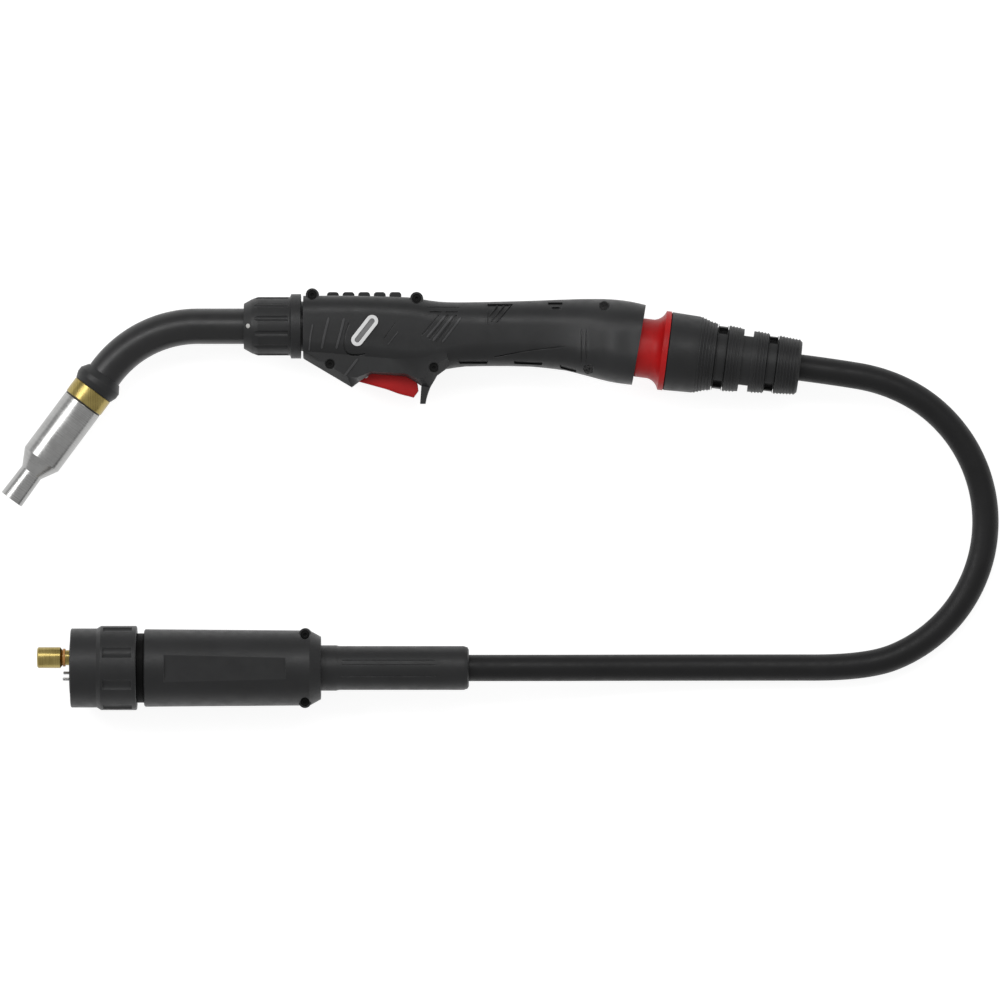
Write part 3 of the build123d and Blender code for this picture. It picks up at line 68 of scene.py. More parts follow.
# the cable's route, as in the CAD source
CABLE_POINTS = (
    (0.25033, 0.02137, 0.027),
    (0.28208, 0.01742, 0.027),
    (0.3196, 0.0112, 0.024),
    (0.3518, -0.0064, 0.0185),
    (0.3753, -0.0348, 0.013),
    (0.3867, -0.0696, 0.0098),
    (0.3845, -0.1063, 0.0088),
    (0.3689, -0.1397, 0.0088),
    (0.3421, -0.1648, 0.0088),
    (0.3079, -0.17845, 0.0089),
    (0.2362, -0.17845, 0.0089),
    (0.1572, -0.17845, 0.0136),
    (0.0912, -0.17845, 0.0278),
    (0.0317, -0.17845, 0.0278),
)


# ---------------------------------------------------------------- camera, lights and floor
LENS_MM = 400  # a long lens, so that the view has next to no perspective
SENSOR_MM = 36
CAMERA_PLACE = (0.06465, -0.0676, MIDDLE_Z + 7.333)
WHITE = (1.0, 1.0, 1.0, 1)
ROOM_STRENGTH = 0.55
# name, place, target, size, power
SOFT_LIGHTS = (
    ("soft_top", (0.05, 0.8, 1.6), (0.06, -0.05, 0), (2.2, 0.45), 13),
    ("soft_side", (-1.3, 0.5, 1.3), (0.0, 0.0, 0), (0.5, 0.9), 9),
)
SPOT_PLACE = (BALL.x - 0.002, BALL.y, 1.05)
SPOT_POWER = 28
SPOT_ANGLE = radians(2.4)
SPOT_SOURCE = 0.03
FLOOR_REACH = 6
FLOOR_GREY = (0.32, 0.32, 0.32, 1)
FLOOR_GLOW = 0.84


def put(name, data, place):
    """New object in the scene for a camera or a light."""
    made = bpy.data.objects.new(name, data)
    made.location = place
    bpy.context.scene.collection.objects.link(made)
    return made


def make_camera():
    """Camera straight above."""
    camera = bpy.data.cameras.new("camera")
    camera.lens = LENS_MM
    camera.sensor_width = SENSOR_MM
    bpy.context.scene.camera = put("camera", camera, CAMERA_PLACE)


def make_room():
    """Even white light from all round."""
    world = bpy.data.worlds.new("soft_room")
    world.use_nodes = True
    background = world.node_tree.nodes["Background"]
    background.inputs["Color"].default_value = WHITE
    background.inputs["Strength"].default_value = ROOM_STRENGTH
    bpy.context.scene.world = world


def make_soft_light(name, place, target, size, power):
    """Rectangular light that faces its target."""
    light = bpy.data.lights.new(name, "AREA")
    light.shape = "RECTANGLE"
    light.size, light.size_y = size
    light.energy = power
    aim = Vector(target) - Vector(place)
    put(name, light, place).rotation_euler = aim.to_track_quat("-Z", "Y").to_euler()


def make_spot():
    """Narrow light from above, for the soft highlight on the grip's rear bulge."""
    spot = bpy.data.lights.new("dome_spot", "SPOT")
    spot.energy = SPOT_POWER
    spot.spot_size = SPOT_ANGLE
    spot.spot_blend = 1.0
    spot.shadow_soft_size = SPOT_SOURCE
    put("dome_spot", spot, SPOT_PLACE)


def make_floor():
    """Pale matt paper that glows a little, so that it looks white."""
    near, far = -FLOOR_REACH, FLOOR_REACH
    corners = [(near, near, 0), (far, near, 0), (far, far, 0), (near, far, 0)]
    mesh = bpy.data.meshes.new("floor")
    mesh.from_pydata(corners, [], [(0, 1, 2, 3)])
    floor = bpy.data.objects.new("floor", mesh)
    bpy.context.scene.collection.objects.link(floor)
    paper = bpy.data.materials.new("floor_paper")
    paper.use_nodes = True
    shader = paper.node_tree.nodes["Principled BSDF"]
    shader.inputs["Base Color"].default_value = FLOOR_GREY
    shader.inputs["Roughness"].default_value = 1.0
    shader.inputs["Specular IOR Level"].default_value = 0.0
    shader.inputs["Emission Color"].default_value = WHITE
    shader.inputs["Emission Strength"].default_value = FLOOR_GLOW
    mesh.materials.append(paper)


def make_stage():
    """The camera, the lights and the floor."""
    bpy.context.scene.view_settings.view_transform = "Standard"
    make_camera()
    make_room()
    for light in SOFT_LIGHTS:
        make_soft_light(*light)
    make_spot()
    make_floor()


# ---------------------------------------------------------------- materials
# how fine each pattern is, in cells per metre
MOTTLE_CELLS = 45
PATCH_CELLS = 160
STAIN_CELLS = 90


def node(tree, kind, inputs=(), **settings):
    """Adds a shader node; an input is a number, a colour or another node's output."""
    made = tree.nodes.new(kind)
    for key, value in settings.items():
        setattr(made, key, value)
    for key, value in dict(inputs).items():
        if isinstance(value, bpy.types.NodeSocket):
            tree.links.new(value, made.inputs[key])
        else:
            made.inputs[key].default_value = value
    return made


def spread(tree, value, low, high, start=0.3, end=0.7):
    """Maps a noise value to a range of another quantity."""
    inputs = {"Value": value, "From Min": start, "From Max": end, "To Min": low, "To Max": high}
    return node(tree, "ShaderNodeMapRange", inputs).outputs[0]


def ramp(tree, value, stops):
    """Colour ramp through (position, colour) stops."""
    made = node(tree, "ShaderNodeValToRGB", {"Fac": value})
    elements = made.color_ramp.elements
    while len(elements) < len(stops):
        elements.new(0.5)
    for element, (position, colour) in zip(elements, stops):
        element.position = position
        element.color = (*colour, 1)
    return made.outputs["Color"]


def total(tree, *values):
    """Sum of several values."""
    result = values[0]
    for value in values[1:]:
        result = node(tree, "ShaderNodeMath", {0: result, 1: value}, operation="ADD").outputs[0]
    return result


def dot(tree, first, second):
    """Dot product of two vectors."""
    inputs = {0: first, 1: second}
    made = node(tree, "ShaderNodeVectorMath", inputs, operation="DOT_PRODUCT")
    return made.outputs["Value"]


def product(tree, first, second):
    """Product of two values."""
    inputs = {0: first, 1: second}
    return node(tree, "ShaderNodeMath", inputs, operation="MULTIPLY").outputs[0]


def begin(name):
    """New material, with its node tree, its shader and its object coordinates."""
    material = bpy.data.materials.new(name)
    material.use_nodes = True
    tree = material.node_tree
    shader = tree.nodes["Principled BSDF"]
    place = node(tree, "ShaderNodeTexCoord").outputs["Object"]
    return material, tree, shader, place


def edges(tree, radius):
    """Rounded normal near edges, and how far it turns there, from 0 to 1."""
    rounded = node(tree, "ShaderNodeBevel", {"Radius": radius}, samples=4).outputs["Normal"]
    plain = node(tree, "ShaderNodeNewGeometry").outputs["Normal"]
    return rounded, spread(tree, dot(tree, rounded, plain), 0.0, 1.0, 1.0, 0.75)


def noise(tree, place, scale, detail=3.0, rough=0.55):
    """Cloudy noise at a scale in cells per metre."""
    inputs = {"Vector": place, "Scale": scale, "Detail": detail, "Roughness": rough}
    return node(tree, "ShaderNodeTexNoise", inputs).outputs[0]


def finish_shader(tree, shader, colour, roughness, height, depth, rounded):
    """Links colour, roughness and bump into the shader."""
    inputs = {"Strength": 1.0, "Distance": depth, "Height": height, "Normal": rounded}
    bump = node(tree, "ShaderNodeBump", inputs)
    tree.links.new(colour, shader.inputs["Base Color"])
    tree.links.new(roughness, shader.inputs["Roughness"])
    tree.links.new(bump.outputs["Normal"], shader.inputs["Normal"])


def moulded(name, dark, light, edge_wear_and_sheen, rough, grain, depth, edge=0.0005, gloss=0.5):
    """Moulded plastic or rubber: fine grain, soft mottling and lighter edges, partly wear and partly painted
    highlight.
    """
    material, tree, shader, place = begin(name)
    rounded, edge_turn = edges(tree, edge)
    cloud = noise(tree, place, MOTTLE_CELLS, 4)
    fine = noise(tree, place, grain, 2)
    patch = noise(tree, place, PATCH_CELLS, 4)
    # lighter edges: partly wear, partly painted highlight standing in for light catching the edges
    wear_and_sheen_share = product(tree, edge_turn, spread(tree, patch, 0.25, 0.75))
    shade = total(tree, spread(tree, cloud, 0.0, 0.35), spread(tree, fine, 0.0, 0.15), wear_and_sheen_share)
    colour = ramp(tree, shade, ((0.0, dark), (0.5, light), (1.0, edge_wear_and_sheen)))
    roughness = spread(tree, patch, rough - 0.06, rough + 0.08)
    height = total(tree, fine, spread(tree, cloud, 0.0, 0.6))
    finish_shader(tree, shader, colour, roughness, height, depth, rounded)
    shader.inputs["Specular IOR Level"].default_value = gloss
    return material


def turned(name, axis, dark, light, rough, pitch, depth, stain=None, edge=0.0003, metal=1.0):
    """Turned metal: fine rings about the piece's axis, with faint stains."""
    material, tree, shader, place = begin(name)
    rounded, edge_turn = edges(tree, edge)
    station = product(tree, dot(tree, place, axis), 1 / pitch)
    inputs = {"W": station, "Scale": 1.0, "Detail": 3.0}
    rings = node(tree, "ShaderNodeTexNoise", inputs, noise_dimensions="1D").outputs[0]
    cloud = noise(tree, place, STAIN_CELLS, 4)
    ring_shade = spread(tree, rings, 0.0, 0.5)
    cloud_shade = spread(tree, cloud, 0.0, 0.35)
    shade = total(tree, ring_shade, cloud_shade, spread(tree, edge_turn, 0.0, 0.15, 0.0, 1.0))
    colour = ramp(tree, shade, ((0.0, stain or dark), (0.25, dark), (0.9, light)))
    ring_rough = spread(tree, rings, rough - 0.07, rough + 0.05)
    roughness = total(tree, ring_rough, spread(tree, cloud, 0.0, 0.1))
    finish_shader(tree, shader, colour, roughness, rings, depth, rounded)
    shader.inputs["Metallic"].default_value = metal
    return material


def make_materials():
    """One material for each of the record's slots, and two more: a lighter black for the ribs, as painted
    highlight along them, and a near-black for the collar, as painted shade.
    """
    black = {
        # the pale edge colour of the handle's black is partly painted highlight along its edges
        "black_plastic": moulded(
            "handle_black", (0.009, 0.0092, 0.0096), (0.015, 0.0153, 0.016), (0.11, 0.11, 0.112),
            rough=0.42, grain=2600, depth=0.00005, gloss=0.34,
        ),
        # lighter copy of the handle's black for the ribs: painted highlight along the ribs
        "rib_painted_highlight": moulded(
            "rib_black_painted_highlight", (0.026, 0.026, 0.027), (0.042, 0.042, 0.044), (0.10, 0.10, 0.10),
            rough=0.40, grain=2600, depth=0.00004, gloss=0.4,
        ),
        "nut_plastic": moulded(
            "nut_black", (0.008, 0.0082, 0.0086), (0.014, 0.0143, 0.015), (0.08, 0.08, 0.082),
            rough=0.44, grain=2200, depth=0.00006, gloss=0.36,
        ),
        "boot_plastic": moulded(
            "boot_black", (0.007, 0.0072, 0.0076), (0.012, 0.0123, 0.013), (0.06, 0.06, 0.062),
            rough=0.48, grain=1800, depth=0.00006, gloss=0.34,
        ),
        "cable_rubber": moulded(
            "cable_black", (0.0045, 0.0045, 0.0048), (0.008, 0.008, 0.0084), (0.02, 0.02, 0.02),
            rough=0.46, grain=1500, depth=0.00006, gloss=0.26,
        ),
        # near-black for the connector's collar: painted shade in the nut's recess
        "painted_shade_plastic": moulded(
            "painted_shade_black", (0.0015, 0.0015, 0.0015), (0.003, 0.003, 0.003), (0.01, 0.01, 0.01),
            rough=0.6, grain=2200, depth=0.00004, gloss=0.1,
        ),
        "inner_plastic": moulded(
            "inner_black", (0.02, 0.02, 0.02), (0.035, 0.035, 0.035), (0.08, 0.08, 0.08),
            rough=0.55, grain=2200, depth=0.00004,
        ),
        "neck_metal": moulded(
            "neck_black", (0.007, 0.007, 0.0074), (0.012, 0.012, 0.0125), (0.06, 0.06, 0.06),
            rough=0.34, grain=3200, depth=0.00003, gloss=0.42,
        ),
        "o_ring_rubber": moulded(
            "o_ring_black", (0.006, 0.006, 0.006), (0.012, 0.012, 0.012), (0.03, 0.03, 0.03),
            rough=0.5, grain=3000, depth=0.00003,
        ),
        "black_screw": moulded(
            "screw_black", (0.0015, 0.0015, 0.0015), (0.003, 0.003, 0.003), (0.03, 0.03, 0.03),
            rough=0.36, grain=4000, depth=0.00002, gloss=0.16,
        ),
    }
    colours = {
        "red_plastic": moulded(
            "red_satin", (0.29, 0.004, 0.005), (0.42, 0.008, 0.008), (0.50, 0.02, 0.02),
            rough=0.40, grain=2600, depth=0.00004, gloss=0.2,
        ),
        "white_plastic": moulded(
            "white_plain", (0.36, 0.355, 0.34), (0.46, 0.455, 0.44), (0.55, 0.55, 0.54),
            rough=0.5, grain=2400, depth=0.00004,
        ),
        "orange_rubber": moulded(
            "orange_ring", (0.38, 0.16, 0.035), (0.48, 0.22, 0.05), (0.56, 0.30, 0.10),
            rough=0.45, grain=3000, depth=0.00003,
        ),
    }
    metals = {
        "nickel": turned(
            "nozzle_nickel", TIP_AXIS, (0.34, 0.34, 0.335), (0.47, 0.47, 0.465),
            rough=0.22, pitch=0.00035, depth=0.000005,
            stain=(0.30, 0.295, 0.29),
        ),
        # pale, mostly non-metal rim: part of its chrome shine is painted reflection in its colour
        "chrome": turned(
            "rim_chrome", Z_AXIS, (0.72, 0.72, 0.72), (0.86, 0.86, 0.86),
            rough=0.2, pitch=0.0002, depth=0.000005,
            metal=0.35,
        ),
        "grey_plate": turned(
            "plate_grey", Vector((0.8, -0.6, 0)), (0.12, 0.12, 0.122), (0.22, 0.22, 0.22),
            rough=0.44, pitch=0.0002, depth=0.00001,
            metal=0.5,
        ),
        "brass": turned(
            "brass_turned", X_AXIS, (0.28, 0.215, 0.07), (0.52, 0.42, 0.16),
            rough=0.24, pitch=0.0003, depth=0.00001,
            stain=(0.20, 0.14, 0.05),
        ),
        "copper": turned(
            "copper_turned", TIP_AXIS, (0.50, 0.26, 0.16), (0.78, 0.45, 0.30),
            rough=0.30, pitch=0.0003, depth=0.00002,
        ),
        "steel": turned(
            "steel_turned", Z_AXIS, (0.30, 0.30, 0.30), (0.52, 0.52, 0.52),
            rough=0.32, pitch=0.0003, depth=0.00002,
        ),
    }
    return {**black, **colours, **metals}


# ---------------------------------------------------------------- mesh helpers
def new_object(name, vertices, faces):
    """Closed mesh object in the shared frame, with its normals outwards."""
    mesh = bpy.data.meshes.new(name)
    mesh.from_pydata([tuple(vertex) for vertex in vertices], [], faces)
    work = bmesh.new()
    work.from_mesh(mesh)
    bmesh.ops.recalc_face_normals(work, faces=work.faces)
    work.to_mesh(mesh)
    work.free()
    made = bpy.data.objects.new(name, mesh)
    bpy.context.scene.collection.objects.link(made)
    return made


def lathe(name, origin, axis, outlines, steps=128):
    """Closed (station, radius) outlines turned about an axis."""
    axis = axis.normalized()
    side = Z_AXIS if abs(axis.z) < 0.9 else X_AXIS
    side = (side - axis * side.dot(axis)).normalized()
    third = axis.cross(side)
    vertices, faces = [], []
    for outline in outlines:
        base, count = len(vertices), len(outline)
        for step in range(steps):
            outward = side * cos(tau * step / steps) + third * sin(tau * step / steps)
            vertices += [origin + axis * station + outward * radius for station, radius in outline]
        for step in range(steps):
            here, there = base + step * count, base + (step + 1) % steps * count
            for index in range(count):
                follow = (index + 1) % count
                faces.append((here + index, here + follow, there + follow, there + index))
    return new_object(name, vertices, faces)


def prisms(name, outlines, low, high):
    """Upright prisms over closed (x, y) outlines, between two heights."""
    vertices, faces = [], []
    for outline in outlines:
        base, count = len(vertices), len(outline)
        vertices += [(x, y, low) for x, y in outline] + [(x, y, high) for x, y in outline]
        faces.append(tuple(range(base, base + count)))
        faces.append(tuple(range(base + count, base + 2 * count)))
        for index in range(count):
            follow = (index + 1) % count
            above = base + count
            faces.append((base + index, base + follow, above + follow, above + index))
    return new_object(name, vertices, faces)


def combine(target, tool, operation):
    """Applies a boolean to the target and removes the tool."""
    modifier = target.modifiers.new("shape", "BOOLEAN")
    modifier.object = tool
    modifier.operation = operation
    modifier.solver = "EXACT"
    graph = bpy.context.evaluated_depsgraph_get()
    shaped = bpy.data.meshes.new_from_object(target.evaluated_get(graph))
    target.modifiers.clear()
    target.data = shaped
    bpy.data.objects.remove(tool)


def merged_copy(name, cad_node):
    """Copy of a CAD piece with its points merged, so that it can be cut and shaded smooth."""
    mesh = NODES[cad_node].data.copy()
    if "custom_normal" in mesh.attributes:
        mesh.attributes.remove(mesh.attributes["custom_normal"])
    work = bmesh.new()
    work.from_mesh(mesh)
    bmesh.ops.remove_doubles(work, verts=work.verts, dist=MERGE_DISTANCE)
    bmesh.ops.recalc_face_normals(work, faces=work.faces)
    work.to_mesh(mesh)
    work.free()
    mesh.materials.clear()
    made = bpy.data.objects.new(name, mesh)
    bpy.context.scene.collection.objects.link(made)
    return made


def settle(piece, body, slot, cad_node=None, angle=28):
    """Shades, paints and mounts a new piece."""
    mesh = piece.data
    mesh.materials.clear()
    mesh.materials.append(MATERIALS[slot])
    for polygon in mesh.polygons:
        polygon.use_smooth = True
        polygon.material_index = 0
    mesh.set_sharp_from_angle(angle=radians(angle))
    if cad_node:
        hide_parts(cad_node)
    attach(piece, body)
    return piece


# ---------------------------------------------------------------- handle
# back, top, bottom, half width and corner radius, as in the CAD source
STATIONS = (
    (1.0, 20.0, -21.4, 21.4, 12.0),
    (32.2, 20.0, -23.4, 21.6, 12.0),
    (70.2, 19.0, -28.4, 20.6, 13.0),
    (90.2, 16.2, -28.8, 19.4, 14.0),
    (108.2, 15.8, -26.5, 18.9, 15.0),
    (150.2, 16.7, -26.6, 19.4, 16.0),
    (174.2, 17.6, -29.2, 22.6, 18.0),
    (189.2, 18.0, -33.0, 23.6, 20.0),
    (203.2, 17.8, -36.6, 26.98, 23.5),
    (217.2, 16.2, -38.6, 24.8, 21.5),
    (234.2, 12.6, -39.8, 24.2, 20.0),
)
STATION_STEPS = 3
CORNER_STEPS = 10


def blend(p0, p1, p2, p3, t):
    """Cubic through p1 and p2 that leaves and arrives along its neighbours."""
    rise = 0.5 * (p2 - p0)
    arrive = 0.5 * (p3 - p1)
    gap = p2 - p1
    return p1 + rise * t + (3 * gap - 2 * rise - arrive) * t**2 + (rise + arrive - 2 * gap) * t**3


def eased(stations):
    """The stations with smooth steps between each pair."""
    ends = [stations[0], *stations, stations[-1]]
    steps = []
    for before, first, second, after in zip(ends, ends[1:], ends[2:], ends[3:]):
        for step in range(STATION_STEPS):
            t = step / STATION_STEPS
            rest = [blend(*four, t) for four in zip(before[1:], first[1:], second[1:], after[1:])]
            steps.append((first[0] + t * (second[0] - first[0]), *rest))
    return [*steps, stations[-1]]


def on_handle(back, up):
    """Place on the handle's side, as (x, y) in the shared frame."""
    return NECK_FRONT.x + back * MM, NECK_FRONT.y + up * MM


def skin(name, inset):
    """The handle's smooth body, drawn in by an inset in mm, as a closed mesh."""
    vertices, faces, rings = [], [], 0
    for back, top, bottom, half, corner in eased(STATIONS):
        radius = corner - inset
        tall, wide = (top - bottom) / 2 - inset - radius, half - inset - radius
        for quarter, (up_sign, out_sign) in enumerate(((1, 1), (-1, 1), (-1, -1), (1, -1))):
            for step in range(CORNER_STEPS + 1):
                turn = pi / 2 * (quarter + step / CORNER_STEPS)
                up = (top + bottom) / 2 + up_sign * tall + radius * cos(turn)
                out = out_sign * wide + radius * sin(turn)
                x, y = on_handle(back, up)
                vertices.append((x, y, MIDDLE_Z + out * MM))
        rings += 1
    count = 4 * (CORNER_STEPS + 1)
    for ring in range(rings - 1):
        for index in range(count):
            follow = (index + 1) % count
            here, there = ring * count, (ring + 1) * count
            faces.append((here + index, here + follow, there + follow, there + index))
    faces.append(tuple(range(count)))
    faces.append(tuple(range((rings - 1) * count, rings * count)))
    return new_object(name, vertices, faces)


def curve_through(points, steps=6):
    """Smooth line through given points."""
    ends = [points[0], *points, points[-1]]
    line = []
    for four in zip(ends, ends[1:], ends[2:], ends[3:]):
        for step in range(steps):
            line.append(tuple(blend(*axis, step / steps) for axis in zip(*four)))
    return [*line, points[-1]]


def stroke(points, width):
    """Outline of a line of some width in mm that tapers at its ends, in handle places."""
    line = [Vector(point) for point in (curve_through(points) if len(points) > 2 else points)]
    left, right = [], []
    for index, point in enumerate(line):
        ahead = line[min(index + 1, len(line) - 1)] - line[max(index - 1, 0)]
        share = 0.45 if index in (0, len(line) - 1) else 1.0
        across = Vector((-ahead.y, ahead.x)).normalized() * width / 2 * share
        left.append(point + across)
        right.append(point - across)
    return [on_handle(*point) for point in left + right[::-1]]


def outline(points):
    """Closed outline in handle places."""
    return [on_handle(*point) for point in points]


# each rib or groove is the line along its middle, and its width
RIBS = (
    (((18.0, 5.4), (15.4, -5.0), (13.2, -15.2)), 1.5),
    (((28.1, 5.0), (25.6, -5.0), (22.9, -15.2)), 1.5),
    (((7.4, 1.0), (5.8, -8.0), (5.0, -16.5)), 1.0),
    (((63.5, -3.9), (56.9, -12.4)), 1.3),
    (((94.4, 6.6), (88.2, -1.0), (82.4, -7.6)), 1.3),
    (((99.6, 6.6), (92.4, -2.4), (86.4, -10.0)), 1.5),
    (((105.0, 5.6), (98.6, -3.0), (92.4, -11.0)), 1.2),
)
CHEEK_RIB = (((37.0, -21.6), (32.6, -27.4), (28.4, -32.8)), 1.5)
CHEEK_MM = 18.8  # from the middle plane to the skirt's flat cheek
GROOVES = (
    (
        ((31.4, 2.0), (28.6, -6.0), (28.4, -14.6), (31.4, -18.6), (36.4, -19.2), (42.0, -18.4)),
        1.1,
    ),
    (((62.0, 2.4), (54.2, -8.4)), 0.7),
    (((82.4, 12.4), (104.2, 12.4)), 0.8),
    (((84.2, 9.2), (92.4, 9.2)), 1.6),
    (((94.8, 9.2), (103.0, 9.2)), 1.6),
    (((90.6, 7.2), (84.6, 0.0), (79.4, -6.0)), 1.0),
    (((96.6, 7.2), (89.6, -2.0), (84.0, -8.6)), 1.3),
    (((102.2, 7.2), (95.0, -3.0), (89.0, -10.6)), 1.5),
    (((126.2, -20.6), (150.4, -16.2), (172.4, -13.8)), 0.9),
    (((184.2, -3.0), (184.2, -25.0)), 0.8),
    (((187.4, -3.0), (187.4, -24.0)), 0.9),
)
# corners of the recessed grip patches, and the ends of the ridges that are left in them
PATCHES = (
    ((122.4, 14.4), (139.4, 14.4), (128.6, 1.6), (122.4, 1.6)),
    ((162.2, 15.4), (171.9, 15.4), (171.2, 10.8), (163.0, 10.8)),
    ((103.0, -22.6), (122.9, -22.6), (122.2, -24.8), (104.0, -24.8)),
    ((139.4, -22.8), (158.8, -23.8), (158.2, -25.6), (140.2, -24.8)),
    ((169.8, -25.4), (181.2, -28.2), (180.8, -30.4), (170.6, -27.8)),
)
GRIP_RIDGES = (
    ((129.0, 13.6), (123.4, 6.6)),
    ((133.2, 13.6), (124.6, 2.8)),
    ((137.4, 13.6), (128.4, 2.8)),
    ((164.8, 12.6), (169.8, 12.6)),
)
# back, up, and how high the head sits above the middle plane
SCREW_WELLS = (
    (6.9, 20.6, 11.0),
    (18.7, -25.3, 16.6),
    (75.7, 18.2, 11.0),
    (87.1, -27.5, 16.6),
    (199.3, 13.2, 14.0),
    (188.8, -28.8, 14.0),
)
WELL_RADIUS = 0.0036
WELL_REACH = 0.02
WELL_GAP_MM = 0.2  # from the head to the well's floor
RIB_HEIGHT_MM = 0.55
RIB_ROOT_MM = 1.2
GROOVE_DEPTH_MM = 0.7
PATCH_DEPTH_MM = 0.9
RIDGE_WIDTH_MM = 0.9
TOOL_START = 0.003  # tools act between these distances from the middle plane
TOOL_END = 0.05


def strokes(lines):
    """Outlines of lines that have a width each."""
    return [stroke(points, width) for points, width in lines]


def side_ribs(name, side, span):
    """Raised ribs of one side, their roots sunk in the shell."""
    ribs = prisms(name, strokes(RIBS), *span)
    combine(ribs, skin("outer", -RIB_HEIGHT_MM), "INTERSECT")
    combine(ribs, skin("inner", RIB_ROOT_MM), "DIFFERENCE")
    heights = (CHEEK_MM - RIB_ROOT_MM, CHEEK_MM + RIB_HEIGHT_MM)
    cheek = sorted(MIDDLE_Z + side * height * MM for height in heights)
    combine(ribs, prisms("cheek_rib", [stroke(*CHEEK_RIB)], *cheek), "UNION")
    settle(ribs, "handle", "black_plastic")
    # the ribs get the lighter black, as painted highlight along them
    ribs.data.materials[0] = MATERIALS["rib_painted_highlight"]


def cut_grooves(shell, span):
    """Fine grooves of one side."""
    grooves = prisms("grooves", strokes(GROOVES), *span)
    combine(grooves, skin("inner", GROOVE_DEPTH_MM), "DIFFERENCE")
    combine(shell, grooves, "DIFFERENCE")


def cut_patches(shell, span):
    """Recessed grip patches of one side, with the ridges left in them."""
    patches = prisms("patches", [outline(points) for points in PATCHES], *span)
    combine(patches, skin("inner", PATCH_DEPTH_MM), "DIFFERENCE")
    ridges = [stroke(points, RIDGE_WIDTH_MM) for points in GRIP_RIDGES]
    combine(patches, prisms("ridges", ridges, *span), "DIFFERENCE")
    combine(shell, patches, "DIFFERENCE")


def cut_wells(shell, side):
    """Round wells over the screws' heads."""
    well = (
        (0, NEAR_AXIS),
        (0, WELL_RADIUS),
        (WELL_REACH, WELL_RADIUS),
        (WELL_REACH, NEAR_AXIS),
    )
    for back, up, height in SCREW_WELLS:
        bottom = Vector((*on_handle(back, up), MIDDLE_Z + side * (height + WELL_GAP_MM) * MM))
        combine(shell, lathe("well", bottom, side * Z_AXIS, [well], 48), "DIFFERENCE")


def handle_side(cad_node, name, side):
    """One shell of the handle with its ribs, grooves, grip patches and screw wells."""
    shell = merged_copy(name, cad_node)
    span = sorted((MIDDLE_Z + side * TOOL_START, MIDDLE_Z + side * TOOL_END))
    side_ribs(name.replace("detailed", "ribs"), side, span)
    cut_grooves(shell, span)
    cut_patches(shell, span)
    cut_wells(shell, side)
    settle(shell, "handle", "black_plastic", cad_node)


# ---------------------------------------------------------------- boot, sleeve and index dot
# (station from the ball, radius) where the boot's outline turns, and its slots' two ends
BOOT_EDGE = (0.057, 0.0253)
BOOT_FLAT = (0.066, 0.0223)
BOOT_TAIL = (0.1259, 0.0178)
BOOT_SLOTS = ((0.0700, 0.0760), (0.0870, 0.0936), (0.1040, 0.1096))


def boot_radius(station):
    """Radius of the boot's shoulder and tapered part."""
    if station < BOOT_FLAT[0]:
        share = (station - BOOT_EDGE[0]) / (BOOT_FLAT[0] - BOOT_EDGE[0])
        return BOOT_EDGE[1] + share * (BOOT_FLAT[1] - BOOT_EDGE[1])
    share = (station - BOOT_FLAT[0]) / (BOOT_TAIL[0] - BOOT_FLAT[0])
    return BOOT_FLAT[1] + share * (BOOT_TAIL[1] - BOOT_FLAT[1])


RING_START = 0.0582
RING_PITCH = 0.0021
RING_WIDTH = 0.0013
RING_RISE = 0.00045
RING_ROOT = 0.0003
CLEAR_BEHIND = 0.0016  # a ring stays out of a slot by these two distances
CLEAR_AHEAD = 0.0006
TAIL_CLEAR = 0.0025
LINE_WIDTH = 0.0007
LINE_GAP = 0.0002
LINE_DEPTH = 0.0024
LINE_REACH = 0.002


def boot_ring(station):
    """Outline of one moulded ring."""
    low = min(boot_radius(station), boot_radius(station + RING_WIDTH)) - RING_ROOT
    top = boot_radius(station + 0.0006) + RING_RISE
    return (
        (station, low),
        (station + 0.0002, top - 0.0001),
        (station + 0.0005, top),
        (station + 0.0010, top - 0.00005),
        (station + RING_WIDTH, low),
    )


def make_boot_ribs():
    """Moulded rings round the boot's shoulder and tapered part, between its slots."""
    rings = []
    station = RING_START
    while station < BOOT_TAIL[0] - TAIL_CLEAR:
        before, after = station + CLEAR_BEHIND, station - CLEAR_AHEAD
        if all(before < start or after > end for start, end in BOOT_SLOTS):
            rings.append(boot_ring(station))
        station += RING_PITCH
    ribs = lathe("boot_ribs", BALL, BOOT_AXIS, rings)
    settle(ribs, "swivel", "boot_plastic")


def make_boot():
    """The boot with a fine dark line round it at each end of its first and last slots."""
    boot = merged_copy("cable_boot_detailed", "cable_boot")
    lines = []
    for start, end in (BOOT_SLOTS[0], BOOT_SLOTS[2]):
        for station in (start - LINE_WIDTH - LINE_GAP, end + LINE_GAP):
            follow = station + LINE_WIDTH
            outer = boot_radius(station) + LINE_REACH
            inner = boot_radius(station) - LINE_DEPTH
            lines.append(((station, inner), (station, outer), (follow, outer), (follow, inner)))
    combine(boot, lathe("lines", BALL, BOOT_AXIS, lines), "DIFFERENCE")
    settle(boot, "swivel", "boot_plastic", "cable_boot")


DOT_PLACE = Vector((-0.0352, 0, 0.0165))  # from the neck's front
DOT_LEAN = Vector((-0.45, 0, 1))
DOT_DOME = ((0, 0.00002), (0, 0.0016), (0.0003, 0.0014), (0.0005, 0.0007), (0.00055, 0.00002))


def make_index_dot():
    """Pale index dot on the clamp nut's nose, in line with the neck."""
    dot = lathe("index_dot", NECK_FRONT + DOT_PLACE, DOT_LEAN, [DOT_DOME], steps=32)
    settle(dot, "clamp_nut", "white_plastic")


# the sleeve's fine lines: where they start and end in from its ends, and how far they are
# from its axis
LINES_START = 0.026
LINES_END = 0.022
LINES_ASIDE = (0.0052, 0.0022, -0.0052)
LINES_HALF = 0.0003
LINES_FLOOR = 0.01415
LINES_MARGIN = 0.01


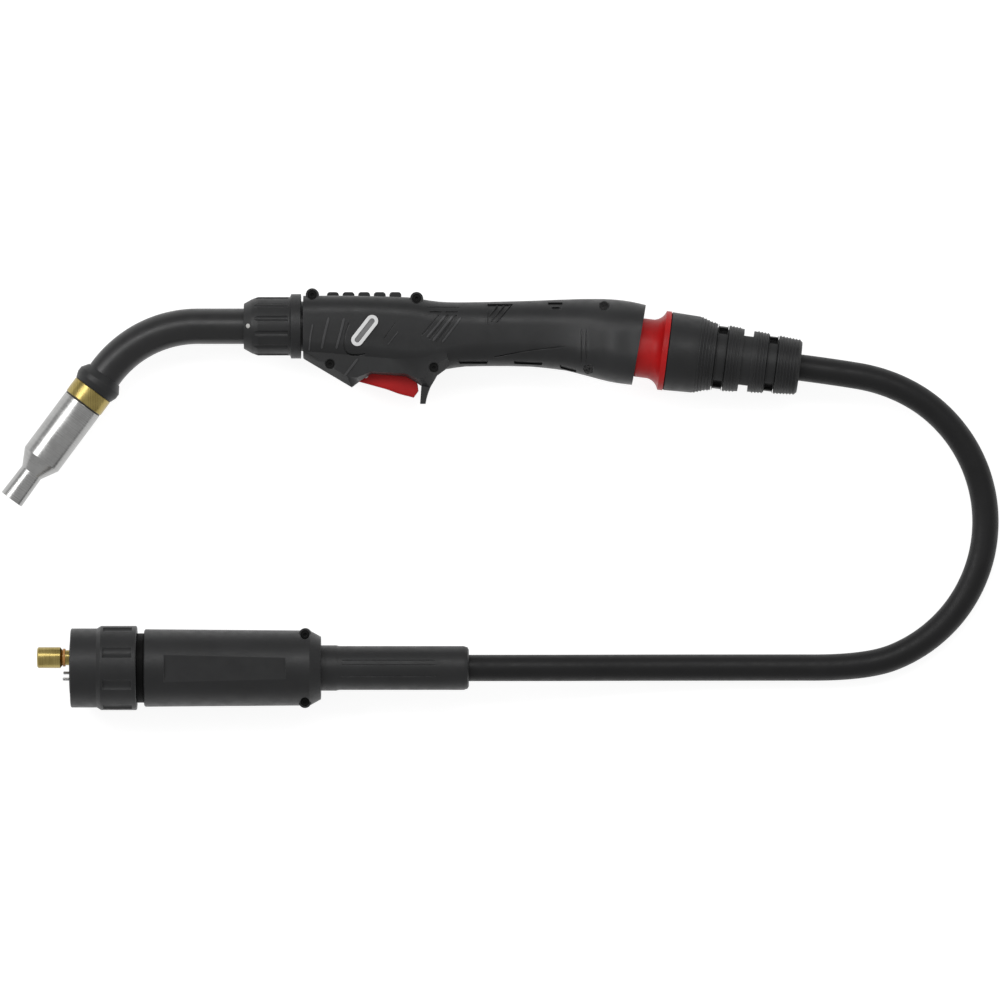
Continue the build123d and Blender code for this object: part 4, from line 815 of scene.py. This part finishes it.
def make_sleeve():
    """The connector's rear sleeve with three fine lines along each side."""
    sleeve = merged_copy("plug_sleeve_detailed", "plug_sleeve")
    low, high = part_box("plug_sleeve")
    start, end = low.x + LINES_START, high.x - LINES_END
    reach = end - start + 2 * LINES_MARGIN
    core = (
        (0, NEAR_AXIS),
        (reach, NEAR_AXIS),
        (reach, LINES_FLOOR),
        (0, LINES_FLOOR),
    )
    core_start = Vector((start - LINES_MARGIN, PLUG.y, PLUG.z))
    outlines = []
    for aside in LINES_ASIDE:
        bottom, top = PLUG.y + aside - LINES_HALF, PLUG.y + aside + LINES_HALF
        outlines.append(((start, bottom), (end, bottom), (end, top), (start, top)))
    for side in (1, -1):
        span = sorted((PLUG.z + side * 0.006, PLUG.z + side * 0.02))
        lines = prisms("lines", outlines, *span)
        combine(lines, lathe("core", core_start, X_AXIS, [core]), "DIFFERENCE")
        combine(sleeve, lines, "DIFFERENCE")
    return settle(sleeve, "cable_set", "nut_plastic", "plug_sleeve")


# ---------------------------------------------------------------- cable
def make_cable(sleeve):
    """The cable, one smooth spline along the route, with the connector on its far end."""
    curve = bpy.data.curves.new("cable_line", "CURVE")
    curve.dimensions = "3D"
    curve.resolution_u = 24
    curve.bevel_depth = CABLE_RADIUS
    curve.bevel_resolution = 10
    curve.use_fill_caps = True
    spline = curve.splines.new("NURBS")
    spline.points.add(len(CABLE_POINTS) - 1)
    for point, place in zip(spline.points, CABLE_POINTS):
        point.co = (*place, 1)
    spline.order_u = 3
    spline.use_endpoint_u = True
    cable = bpy.data.objects.new("cable_visible", curve)
    bpy.context.scene.collection.objects.link(cable)
    curve.materials.append(MATERIALS["cable_rubber"])
    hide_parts("cable")
    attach(cable, "cable_set")


# ---------------------------------------------------------------- making
def paint_cad_pieces():
    """Gives each CAD piece its slot's material; the collar, which lies in the nut's shade, gets a near-black
    material as painted shade.
    """
    for part in frame["record"]["subparts"]:
        mesh = NODES[part["node"]].data
        mesh.materials.clear()
        mesh.materials.append(MATERIALS[part["material_slot"]])
        for polygon in mesh.polygons:
            polygon.material_index = 0
    # painted shade: the collar is drawn near-black because it lies in the nut's shade
    NODES["plug_collar"].data.materials[0] = MATERIALS["painted_shade_plastic"]


make_stage()
MATERIALS = make_materials()
paint_cad_pieces()
handle_side("handle_shell_right", "handle_right_detailed", 1)
handle_side("handle_shell_left", "handle_left_detailed", -1)
make_boot()
make_boot_ribs()
make_index_dot()
make_cable(make_sleeve())
